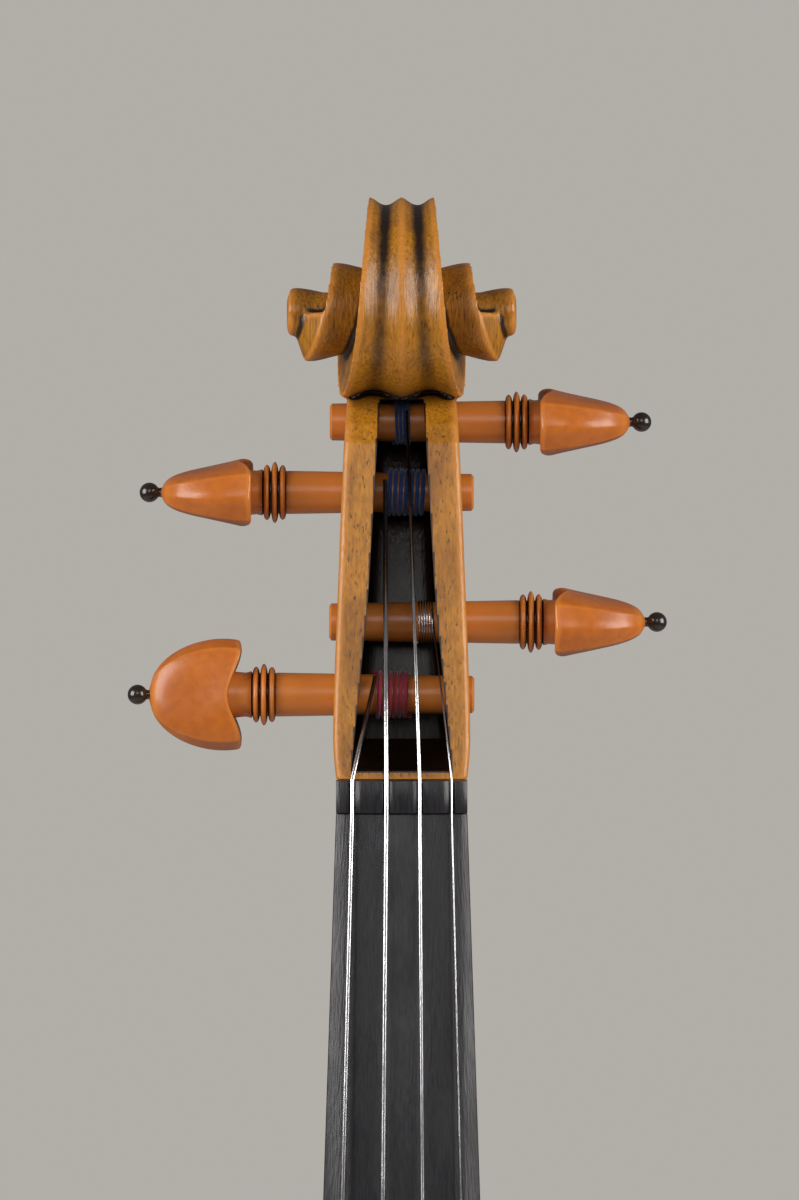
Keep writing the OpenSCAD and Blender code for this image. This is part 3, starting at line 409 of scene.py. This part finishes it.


# Each finish's dirt colour darkens its hollows: partly real dirt, partly painted shade.
HEAD_VARNISH = Finish("head_varnish", (0.40, 0.160, 0.010), (0.11, 0.036, 0.004), rough=0.38, coat=0.18,
                      grain_mm=0.55, stretch=9, contrast=0.55, fleck=0.85, wear=(0.50, 0.19, 0.028),
                      dirt_and_shade=(0.010, 0.005, 0.003), bump=0.28)
RIB_VARNISH = Finish("rib_varnish", (0.46, 0.20, 0.04), (0.22, 0.075, 0.015), rough=0.33, coat=0.4,
                     grain=Grain.FLAMED, fleck=0.25, dirt_and_shade=(0.06, 0.025, 0.01), wear=(0.55, 0.27, 0.09))
BELLY_VARNISH = Finish("belly_varnish", (0.56, 0.27, 0.065), (0.34, 0.13, 0.025), rough=0.33, coat=0.4,
                       grain_mm=1.1, stretch=200, contrast=0.6, fleck=0.15, dirt_and_shade=(0.08, 0.03, 0.01),
                       wear=(0.62, 0.33, 0.12))
NECK_MAPLE = Finish("neck_maple", (0.62, 0.38, 0.17), (0.45, 0.24, 0.09), rough=0.5,
                    grain_mm=0.6, contrast=0.4)
BOXWOOD = Finish("boxwood", (0.46, 0.125, 0.016), (0.28, 0.062, 0.008), rough=0.32, coat=0.20, grain_mm=1.6,
                 stretch=1.0, contrast=0.4, wear=(0.54, 0.17, 0.028), dirt_and_shade=(0.022, 0.005, 0.002), bump=0.05)
EBONY = Finish("ebony", (0.019, 0.018, 0.021), (0.008, 0.007, 0.008), rough=0.36, grain_mm=0.35, stretch=60,
               contrast=0.8, bump=0.12)
PIP_EBONY = Finish("pip_ebony", (0.020, 0.012, 0.010), (0.010, 0.006, 0.005), rough=0.16, coat=0.6, bump=0.02)
SPRUCE = Finish("bare_spruce", (0.72, 0.55, 0.33), (0.58, 0.40, 0.21), rough=0.7, stretch=60, contrast=0.5)
BRIDGE_MAPLE = Finish("bridge_maple", (0.66, 0.47, 0.26), (0.50, 0.31, 0.15), rough=0.55,
                      contrast=0.5, fleck=0.5)
PURFLING = Finish("purfling", (0.035, 0.022, 0.015), (0.02, 0.012, 0.008), rough=0.5)
GUT = Finish("tail_gut", (0.02, 0.02, 0.02), (0.012, 0.012, 0.012), rough=0.3)
STEEL = Finish("string_metal", (0.72, 0.72, 0.74), (0.50, 0.50, 0.52), rough=0.24, metal=1.0, contrast=0.3,
               grain_mm=0.3, bump=0.05)
NICKEL = Finish("tuner_metal", (0.68, 0.66, 0.62), (0.5, 0.48, 0.45), rough=0.18, metal=1.0,
                contrast=0.2, bump=0.02)
RED_SILK = Finish("red_silk", (0.34, 0.008, 0.035), (0.16, 0.004, 0.018), rough=0.75, stretch=1, sheen=0.4)
BLUE_SILK = Finish("blue_silk", (0.018, 0.060, 0.22), (0.009, 0.028, 0.10), rough=0.75, stretch=1, sheen=0.4)


# ---------------------------------------------------------------- the head


@dataclass
class Head:
    """Scroll and pegbox, one carved piece. Sizes in mm, in the neck's frame."""
    eye_back: float = 19.5
    eye_up: float = 92.4
    eye_r: float = 4.1
    eye_width: float = 42.9
    flute: float = 1.5
    ledge_dip: float = 0.9
    steps: int = 20
    voxel: float = 0.40
    turn_r: tuple[float, ...] = (24.12, 21.9, 19.2, 15.5, 12, 9.6, 9, 8.8, 6.6, 4.9, 4.5)
    turn_w: tuple[float, ...] = (8.2, 6.3, 8.1, 11.6, 12.6, 13, 14.5, 18, 19.5, 20.8, 21.2)
    cheeks: tuple[tuple[float, float], ...] = (
        (NUT_T, 12.1), (13.3, 12.64), (39.2, 11.85), (76.3, 10.2), (92.4, 8.2), (97, 7.7))
    cavity: tuple[tuple[float, float], ...] = (
        (NUT_T, 9.5), (7.8, 9.26), (39.2, 6.2), (76.3, 4.07), (90, 3.8))
    chin: tuple[tuple[float, float], ...] = ((-0.5, 6.0), (1, 9.5), (NUT_T, 12.1))
    cavity_floor: tuple[tuple[float, float], ...] = ((7.4, 12), (13, 21), (22, 60))
    front: tuple[tuple[float, float], ...] = (
        (-0.5, 19), (1, 15.2), (4, 13), (5.85, 12.4), (5.9, 0.0), (68, 9.3), (71.5, 11), (74.6, 14.5),
        (77.5, 20), (88, 26), (95.5, 33))
    back: tuple[tuple[float, float], ...] = (
        (-0.5, 20.5), (1, 23), (5, 25), (12, 25.8), (22, 26.2), (40, 28.8), (60, 34.4), (78, 40.6),
        (92.4, 43.62), (95.5, 43.5))
    cavity_back: float = 5.0

    def _turn(self, values: Sequence[float], i: int) -> float:
        """A spiral value at a station."""
        return smooth_line([(k, v) for k, v in enumerate(values)], i / self.steps)

    def _spiral(self, i: int, x: float, r: float) -> Vector:
        """A point beside the spiral, at a station, half-width and radius."""
        a = math.pi / 2 * i / self.steps
        return neck_point(x, self.eye_back + r * math.cos(a), self.eye_up + r * math.sin(a))

    def _hollow(self, c: float) -> float:
        """Depth of the fluting at a share c of the band's half-width."""
        c = abs(c)
        return self.flute * (math.sin(math.pi * min(c / 0.93, 1.0)) ** 1.5 if c < 0.93 else 0.0)

    def scroll(self) -> bpy.types.Object:
        """Builds the volute as one closed skin of band, ledges and walls."""
        turn, last = 4 * self.steps, 10 * self.steps
        foot = (self.turn_w[0] - self.ledge_dip) / self.turn_w[4]
        wall_c = [lerp(foot, 1.0, k / 5) for k in range(6)]
        mid_c = [lerp(-foot, foot, k / 12) for k in range(13)]
        across = [-c for c in reversed(wall_c)] + mid_c[1:-1] + wall_c
        points: list[Vector] = []
        faces: list[tuple[int, ...]] = []

        def strip(rows: list[list[Vector]]) -> None:
            """Adds a sheet of quads through rows of points."""
            base, n = len(points), len(rows[0])
            points.extend(p for row in rows for p in row)
            corners = [base + i * n + j for i in range(len(rows) - 1) for j in range(n - 1)]
            faces.extend((c, c + 1, c + n + 1, c + n) for c in corners)

        def band_row(i: int) -> list[Vector]:
            """Points across the outer band at a station."""
            w, r = self._turn(self.turn_w, i), self._turn(self.turn_r, i)
            return [self._spiral(i, c * w, r - self._hollow(c)) for c in across]

        def wall_row(i: int, side: int) -> list[Vector]:
            """Points up an inner turn's wall, from its foot to its edge."""
            w, r = self._turn(self.turn_w, i), self._turn(self.turn_r, i)
            low = self._turn(self.turn_w, i - turn) - self.ledge_dip
            return [self._spiral(i, side * lerp(low, w, (c - foot) / (1 - foot)), r - self._hollow(c))
                    for c in wall_c]

        def ledge_row(i: int, side: int) -> list[Vector]:
            """Points across a hollowed ledge, from the outer turn's edge to an inner turn's foot."""
            w0, r0 = self._turn(self.turn_w, i - turn), self._turn(self.turn_r, i - turn)
            low, r1 = w0 - self.ledge_dip, self._turn(self.turn_r, i) - self._hollow(foot)
            sag = 0.7 if r0 > r1 + 2 else 0.0
            return [self._spiral(i, side * (lerp(w0, low, k / 4) - sag * math.sin(math.pi * k / 4)),
                                 lerp(r0, r1, k / 4)) for k in range(5)]

        strip([band_row(i) for i in range(turn + 1)])
        for side in (-1, 1):
            strip([wall_row(i, side) for i in range(turn, last + 1)])
            strip([ledge_row(i, side) for i in range(turn, last + 1)])
            rim = [self._spiral(i, side * self._turn(self.turn_w, i), self._turn(self.turn_r, i))
                   for i in range(last - turn, last + 1)]
            rim += [p for p in reversed(wall_row(last, side))][1:]
            base = len(points)
            points.append(neck_point(side * self.turn_w[-1], self.eye_back, self.eye_up))
            points.extend(rim)
            n = len(rim)
            faces.extend((base, base + 1 + k, base + 1 + (k + 1) % n) for k in range(n))
        start, end = band_row(0), band_row(turn)
        inner = [end[k] for k in range(5, len(across) - 5)]
        ledge_in = {side: ledge_row(turn, side)[1:-1] for side in (-1, 1)}
        base = len(points)
        rim = start + ledge_in[1] + list(reversed(inner)) + list(reversed(ledge_in[-1]))
        points.extend(rim)
        faces.append(tuple(range(base, base + len(rim))))
        return mesh_object("scroll_skin", points, faces)

    def _box_rows(self, ups: Sequence[float], half: Callable[[float], float], front: Callable[[float], float],
                  back: Callable[[float], float], fluted: float) -> list[list[Vector]]:
        """Rounded cross-sections of the pegbox or its cavity."""
        rows = []
        for up in ups:
            w, f, b = half(up), front(up), back(up)
            edge = min(0.7, w / 4)
            row = [(-w + edge, f), (w - edge, f), (w, f + edge)]
            row += [(w, lerp(f + edge, b - 1.6, k / 3)) for k in (1, 2, 3)]
            n = 12
            for k in range(n + 1):
                c = lerp(1, -1, k / n)
                row.append((c * (w - 0.6), b - fluted * math.sin(math.pi * min(abs(c) / 0.9, 1)) ** 2
                            - (0.6 if k in (0, n) else 0)))
            row += [(-w, lerp(f + edge, b - 1.6, k / 3)) for k in (3, 2, 1)] + [(-w, f + edge)]
            rows.append([neck_point(x, y, up) for x, y in row])
        return rows

    def pegbox(self) -> bpy.types.Object:
        """Builds the solid pegbox, chin included."""
        ups = [-0.5, 1, 2.5, 4, 5.2, 5.85, 5.9] + [lerp(7, 66, k / 20) for k in range(21)]
        ups += [68, 70, 71.5, 73, 74.6, 76, 77.5, 80, 84, 88, 92, 95.5]
        return loft("pegbox_skin", self._box_rows(
            ups,
            lambda u: smooth_line(self.cheeks, u) if u > NUT_T else on_line(self.chin, u),
            lambda u: on_line(self.front, u), lambda u: smooth_line(self.back, u), 0.9))

    def cavity_cutter(self) -> bpy.types.Object:
        """Builds the hollow that holds the strings' turns."""
        ups = [7.4] + [lerp(8, 67, k / 12) for k in range(13)] + [68.4, 71, 74, 76.4]
        return loft("cavity_skin", self._box_rows(
            ups, lambda u: on_line(self.cavity, u),
            lambda u: -9.0,
            lambda u: min(smooth_line(self.back, u) - self.cavity_back, on_line(self.cavity_floor, u)),
            0.0))

    def build(self) -> bpy.types.Object:
        """Carves the whole head.

        Returns:
            The head, varnished, in place of its CAD node.
        """
        eye = spin_profile("eye", [(-21.45, 0), (-21.45, 2.6), (-21.2, 3.6), (-20.6, 4.1), (20.6, 4.1),
                                   (21.2, 3.6), (21.45, 2.6), (21.45, 0)], 40)
        centre = Matrix.Translation((0, self.eye_back, self.eye_up))
        place(eye, NECK @ centre @ Matrix.Rotation(math.pi / 2, 4, "Y"))
        head = join("head", [self.scroll(), self.pegbox(), eye])
        apply_modifier(head, "REMESH", mode="VOXEL", voxel_size=self.voxel * MM, use_smooth_shade=True)
        apply_modifier(head, "SMOOTH", factor=0.5, iterations=3)
        mark_hollows(head, 5)
        cut(head, self.cavity_cutter())
        for peg in PEGS:
            near, far = peg.radius(-20) + PEG_GAP, peg.radius(20) + PEG_GAP
            hole = spin_profile("hole", [(-20, 0), (-20, near), (20, far), (20, 0)], 48)
            place(hole, peg.matrix())
            cut(head, hole)
        # Paints the hollow near black as painted shade. It has no limit at the back, so the back's outer face
        # is painted dark too.
        wear, to_neck = head.data.attributes["wear"].data, NECK.inverted()
        for v in head.data.vertices:
            x, back, up = to_neck @ v.co
            if 6.8 < up < 76.5 and back > 0.5 and abs(x) < on_line(self.cavity, up) + 0.1:
                wear[v.index].value = 0.0
        smooth(head, 45)
        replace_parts(HEAD_VARNISH.dress(head, "maple_varnish"), "head")
        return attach(head, "violin")


# ---------------------------------------------------------------- pegs, pips and windings


@dataclass
class Peg:
    """A boxwood peg with its ebony pip. Sizes in mm; the peg's own Z runs out to its thumbpiece."""
    name: str
    side: int
    up: float
    back: float
    reach: float
    turned: float
    thumb_len: float = 17.2
    thumb_w: float = 21.3
    thumb_t: float = 13.5
    rings_len: float = 4.4
    collar_gap: float = 1.6

    def radius(self, z: float) -> float:
        """Radius of the tapered shaft."""
        return 3.9 + (z - 12.3) / 60

    def matrix(self) -> Matrix:
        """From the peg's own frame, in mm, to the model's."""
        outward = Matrix.Rotation(self.side * math.pi / 2, 4, "Y")
        return NECK @ Matrix.Translation((0, self.back, self.up)) @ outward

    def shaft(self) -> bpy.types.Object:
        """Turns the shaft, the three rings and the neck."""
        tip = -13.5
        profile = [(tip, 0), (tip, self.radius(tip) - 0.5), (tip + 0.4, self.radius(tip)),
                   (self.reach - 0.3, self.radius(self.reach))]
        pitch = self.rings_len / 3
        for k, swell in enumerate((1.15, 1.75, 1.2)):
            z0 = self.reach + k * pitch
            profile += [(z0 + 0.06 + (pitch - 0.12) * j / 10,
                         4.0 + swell * math.sin(math.pi * j / 10) ** 0.55) for j in range(11)]
        end = self.reach + self.rings_len
        profile += [(end + 0.15, 4.35), (end + 1.2, 4.1), (end + 3.4, 4.3), (end + 6.5, 4.4), (end + 6.5, 0)]
        return spin_profile("shaft_" + self.name, profile, 64)

    def thumb(self) -> bpy.types.Object:
        """Shapes the heart-shaped thumbpiece from a block: wings, dished faces and a hollow at the neck."""
        bpy.ops.object.select_all(action="DESELECT")
        bpy.ops.mesh.primitive_cube_add(size=2.0, location=(0, 0, 0))
        obj = bpy.context.object
        obj.name = "thumb_" + self.name
        bpy.ops.object.mode_set(mode="EDIT")
        bpy.ops.mesh.subdivide(number_cuts=22)
        bpy.ops.object.mode_set(mode="OBJECT")
        for v in obj.data.vertices:
            a, b, c = v.co
            t = (c + 1) / 2
            ring = math.hypot(a, b)
            square = max(abs(a), abs(b))
            if ring > 1e-6:
                fit = square / ring
                soft = 0.8 * fit + 0.2
                a, b = a * lerp(1.0, fit, 0.55) , b * lerp(1.0, soft, 0.5)
            wide = self.thumb_w / 2 * max(0.0, 1 - t ** 2.5) ** 0.52
            wide *= 1 - 0.05 * (1 - t) ** 6
            thick = lerp(self.thumb_t * 0.97, 6.4, t ** 1.35) / 2 * max(0.0, 1 - t ** 7) ** 0.5
            x = a * wide
            dish = 0.85 * math.exp(-((x / 6.2) ** 2)) * math.sin(math.pi * min(1, 0.15 + t * 0.95)) * abs(b)
            crown = 1 - 0.38 * abs(a) ** 3.0
            y = b * max(0.0, thick * crown - dish)
            z = t * (self.thumb_len + 0.6)
            if t < 0.5:
                hollow = 3.4 * math.exp(-((x / 5.6) ** 2)) * (1 - 2 * t)
                z += hollow * (1.0 - 0.15 * abs(b))
                z += 0.5 * (1 - 2 * t) * (abs(a) ** 8)
            v.co = (x, y, z)
        apply_modifier(obj, "SUBSURF", levels=1, render_levels=1)
        turn = Matrix.Rotation(math.radians(self.turned), 4, "Z")
        obj.data.transform(Matrix.Translation((0, 0, self.reach + self.rings_len + self.collar_gap)) @ turn)
        return obj

    def build(self) -> None:
        """Makes the peg and its pip, and lets them ride on the peg's body."""
        peg = join("peg_" + self.name, [self.shaft(), self.thumb()])
        place(peg, self.matrix())
        mark_hollows(peg, 3)
        smooth(peg, 50)
        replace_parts(BOXWOOD.dress(peg, "boxwood"), "peg_" + self.name)
        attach(peg, "peg_" + self.name)
        top = self.reach + self.rings_len + self.collar_gap + self.thumb_len
        ball = [(top + 2.55 + 1.85 * math.sin(a), 1.85 * math.cos(a))
                for a in (math.radians(lerp(-58, 90, k / 18)) for k in range(19))]
        stem = [(top - 1.2, 0), (top - 1.2, 0.86), (top + 0.35, 0.9), (top + 0.7, 0.85)]
        pip = spin_profile("pip_" + self.name, stem + ball, 40)
        place(pip, self.matrix())
        smooth(pip, 60)
        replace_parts(PIP_EBONY.dress(pip, "ebony_polished"), "pip_" + self.name)
        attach(pip, "peg_" + self.name)


PEGS = [
    Peg("g", -1, NUT_T + 15.4, 13.5, 23.4, 0),
    Peg("d", -1, NUT_T + 53.2, 22.5, 21.6, 82),
    Peg("a", 1, NUT_T + 66.5, 25.0, 19.4, -82),
    Peg("e", 1, NUT_T + 28.9, 16.5, 21.9, -82),
]


@dataclass
class Winding:
    """The turns of one string on its peg. Sizes in mm; ends are places across the instrument."""
    peg: Peg
    ends: tuple[float, float]
    wire: float
    turns: float
    finish: Finish
    slot: str

    def build(self) -> None:
        """Winds the coil round the peg."""
        steps = int(28 * self.turns)
        matrix = self.peg.matrix()
        path = []
        for i in range(steps + 1):
            t = i / steps
            x = lerp(self.ends[0] + self.wire, self.ends[1] - self.wire, t)
            z = x * self.peg.side
            r = self.peg.radius(z) + self.wire * 0.92
            a = math.tau * self.turns * t
            path.append(matrix @ Vector((r * math.cos(a), r * math.sin(a), z)))
        coil = tube("winding_" + self.peg.name, path, lambda t, a: self.wire * MM, 10)
        smooth(coil, 60)
        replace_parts(self.finish.dress(coil, self.slot), "winding_" + self.peg.name)
        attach(coil, "peg_" + self.peg.name)


# ---------------------------------------------------------------- eased pieces


def soft_copy(node: bpy.types.Object, edge_mm: float, finish: Finish, slot: str) -> bpy.types.Object:
    """A separate copy of a CAD node with eased edges.

    Args:
        node: the CAD node, left as it is.
        edge_mm: width of the rounding, or 0 for none.
        finish: what it is made of.
        slot: not used.

    Returns:
        The dressed copy.
    """
    copy = bpy.data.objects.new(node.name + "_soft", node.data.copy())
    bpy.context.scene.collection.objects.link(copy)
    mesh = bmesh.new()
    mesh.from_mesh(copy.data)
    bmesh.ops.remove_doubles(mesh, verts=mesh.verts, dist=0.00001)
    mesh.to_mesh(copy.data)
    mesh.free()
    if edge_mm > 0:
        apply_modifier(copy, "BEVEL", width=edge_mm * MM, segments=2, limit_method="ANGLE",
                       angle_limit=math.radians(35), use_clamp_overlap=True)
    smooth(copy, 40)
    if finish.dirt_and_shade or finish.wear:
        mark_hollows(copy, 3)
    return finish.dress(copy, slot)


@dataclass(frozen=True)
class EasedPiece:
    """A piece made by easing the edges of a copy of its CAD node."""
    name: str
    edge_mm: float
    finish: Finish
    slot: str
    body: str = "violin"

    def build(self) -> None:
        """Puts the eased copy in place of the node, riding its body."""
        copy = soft_copy(bpy.data.objects[self.name], self.edge_mm, self.finish, self.slot)
        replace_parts(copy, self.name)
        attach(copy, self.body)
        LOG.info("softened %s", self.name)


# ---------------------------------------------------------------- everything else


EASED: list[EasedPiece] = [
    EasedPiece("back_plate", 0.5, RIB_VARNISH, "maple_varnish"),
    EasedPiece("top_plate", 0.5, BELLY_VARNISH, "belly_varnish"),
    *[EasedPiece(f"rib_{a}_{b}", 0.0, RIB_VARNISH, "maple_varnish")
      for a in ("lower", "waist", "upper") for b in ("bass", "treble")],
    EasedPiece("neck", 0.4, NECK_MAPLE, "neck_maple"),
    EasedPiece("fingerboard", 0.3, EBONY, "ebony"),
    EasedPiece("saddle", 0.3, EBONY, "ebony"),
    EasedPiece("end_button", 0.15, BOXWOOD, "boxwood"),
    EasedPiece("button_pip", 0.1, PIP_EBONY, "ebony_polished"),
    EasedPiece("tailpiece", 0.3, BOXWOOD, "boxwood"),
    EasedPiece("tailpiece_fret", 0.15, EBONY, "ebony"),
    EasedPiece("bridge", 0.2, BRIDGE_MAPLE, "bridge_maple"),
    EasedPiece("tuner_bracket", 0.12, NICKEL, "tuner_metal"),
    EasedPiece("tuner_lever", 0.12, NICKEL, "tuner_metal", "lever"),
    EasedPiece("tuner_screw", 0.1, NICKEL, "tuner_metal", "screw"),
]
PLAIN: list[tuple[str, Finish, str]] = [
    *[(n, SPRUCE, "raw_spruce") for n in (
        "linings_front", "linings_back", "block_lower_bass", "block_lower_treble", "block_upper_bass",
        "block_upper_treble", "neck_block", "end_block", "bass_bar", "sound_post")],
    ("purfling_front", PURFLING, "purfling"), ("purfling_back", PURFLING, "purfling"),
    ("tail_gut", GUT, "tail_gut"), ("tuner_pivot", NICKEL, "tuner_metal"),
]
STRINGS = [EasedPiece("string_" + name, 0.0, STEEL, "string_metal") for name in "gdae"]
NUT = EasedPiece("nut", 0.35, EBONY, "ebony")
WINDINGS = [
    Winding(PEGS[0], (-5.3, 1.9), 0.40, 6.5, RED_SILK, "silk_red"),
    Winding(PEGS[1], (-3.4, 4.6), 0.42, 7, BLUE_SILK, "silk_blue"),
    Winding(PEGS[2], (-1.8, 1.8), 0.33, 4, BLUE_SILK, "silk_blue"),
    Winding(PEGS[3], (2.8, 6.0), 0.15, 6, STEEL, "string_metal"),
]


@dataclass
class Studio:
    """Plain room: pale floor and backdrop, soft lights from both sides, and the camera."""
    tone: Rgb = (0.445, 0.423, 0.392)
    distance: float = 1.0
    lens: float = 164.5

    def world(self) -> None:
        """Sets the backdrop's tone, with softer light reaching the piece."""
        world = bpy.data.worlds.new("room")
        bpy.context.scene.world = world
        world.use_nodes = True
        tree = world.node_tree
        tree.nodes.clear()
        out = tree.nodes.new("ShaderNodeOutputWorld")
        mix = tree.nodes.new("ShaderNodeMixShader")
        rays = tree.nodes.new("ShaderNodeLightPath")
        seen, lit = tree.nodes.new("ShaderNodeBackground"), tree.nodes.new("ShaderNodeBackground")
        seen.inputs["Color"].default_value = (*self.tone, 1)
        lit.inputs["Color"].default_value = (0.80, 0.80, 0.82, 1)
        lit.inputs["Strength"].default_value = 0.15
        most = tree.nodes.new("ShaderNodeMath")
        most.operation = "MAXIMUM"
        tree.links.new(rays.outputs["Is Camera Ray"], most.inputs[0])
        tree.links.new(rays.outputs["Is Transmission Ray"], most.inputs[1])
        tree.links.new(most.outputs[0], mix.inputs[0])
        tree.links.new(lit.outputs[0], mix.inputs[1])
        tree.links.new(seen.outputs[0], mix.inputs[2])
        tree.links.new(mix.outputs[0], out.inputs["Surface"])

    def light(self, name: str, where: Point, size: float, power: float, color: Rgb) -> bpy.types.Object:
        """Hangs a soft square light aimed at the head."""
        data = bpy.data.lights.new(name, "AREA")
        data.size, data.energy, data.color = size, power, color
        lamp = bpy.data.objects.new(name, data)
        bpy.context.scene.collection.objects.link(lamp)
        lamp.location = where
        lamp.rotation_euler = (neck_point(0, 10, 60) - Vector(where)).to_track_quat("-Z", "Y").to_euler()
        return lamp

    def floor(self) -> bpy.types.Object:
        """Lays a pale floor just under the instrument."""
        bpy.ops.object.select_all(action="DESELECT")
        bpy.ops.mesh.primitive_plane_add(size=6, location=(0, 0, -0.02))
        floor = bpy.context.object
        floor.name = "floor"
        material = bpy.data.materials.new("floor_tone")
        material.use_nodes = True
        tree = material.node_tree
        tree.nodes.clear()
        out, flat = tree.nodes.new("ShaderNodeOutputMaterial"), tree.nodes.new("ShaderNodeEmission")
        dull, mix = tree.nodes.new("ShaderNodeBsdfDiffuse"), tree.nodes.new("ShaderNodeMixShader")
        rays = tree.nodes.new("ShaderNodeLightPath")
        flat.inputs["Color"].default_value = (*self.tone, 1)
        dull.inputs["Color"].default_value = (0.5, 0.48, 0.45, 1)
        tree.links.new(rays.outputs["Is Camera Ray"], mix.inputs[0])
        tree.links.new(dull.outputs[0], mix.inputs[1])
        tree.links.new(flat.outputs[0], mix.inputs[2])
        tree.links.new(mix.outputs[0], out.inputs["Surface"])
        floor.data.materials.append(material)
        return floor

    def camera(self) -> None:
        """Sets the camera square on to the front of the head."""
        data = bpy.data.cameras.new("camera")
        data.lens = self.lens
        camera = bpy.data.objects.new("camera", data)
        bpy.context.scene.collection.objects.link(camera)
        target = neck_point(-0.4, -7, 38.9)
        back = Vector((0, math.cos(NECK_TILT), -math.sin(NECK_TILT)))
        camera.location = target - back * self.distance
        camera.rotation_euler = back.to_track_quat("-Z", "Y").to_euler()
        bpy.context.scene.camera = camera

    def build(self) -> None:
        """Puts the whole room together."""
        self.world()
        lights = [
            self.light("left", (-0.75, -0.35, 0.75), 0.6, 9.0, (1, 0.98, 0.95)),
            self.light("right", (0.75, -0.35, 0.75), 0.6, 9.0, (1, 0.98, 0.95)),
            self.light("front", (0.0, -1.3, 1.15), 0.6, 3.0, (1, 1, 1)),
        ]
        self.floor()
        self.camera()
        bpy.context.scene.view_settings.view_transform = "Standard"


def visual_box() -> tuple[list[float], list[float]]:
    """The bounds of everything that shows as part of the object."""
    low, high = [1e9] * 3, [-1e9] * 3
    for obj in bpy.context.scene.objects:
        if obj.type != "MESH" or obj.name == "floor" or obj.hide_render:
            continue
        for vert in obj.data.vertices:
            for k in range(3):
                low[k], high[k] = min(low[k], vert.co[k]), max(high[k], vert.co[k])
    return low, high


def main() -> None:
    """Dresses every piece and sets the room."""
    logging.basicConfig(level=logging.INFO, format="%(message)s")
    for piece in EASED:
        piece.build()
    for name, finish, slot in PLAIN:
        finish.dress(bpy.data.objects[name], slot)
    Head().build()
    LOG.info("carved the head")
    for peg in PEGS:
        peg.build()
        LOG.info("turned peg %s", peg.name)
    for winding in WINDINGS:
        winding.build()
    for string in STRINGS:
        string.build()
    NUT.build()
    Studio().build()
    low, high = visual_box()


if __name__ == "__main__":
    main()
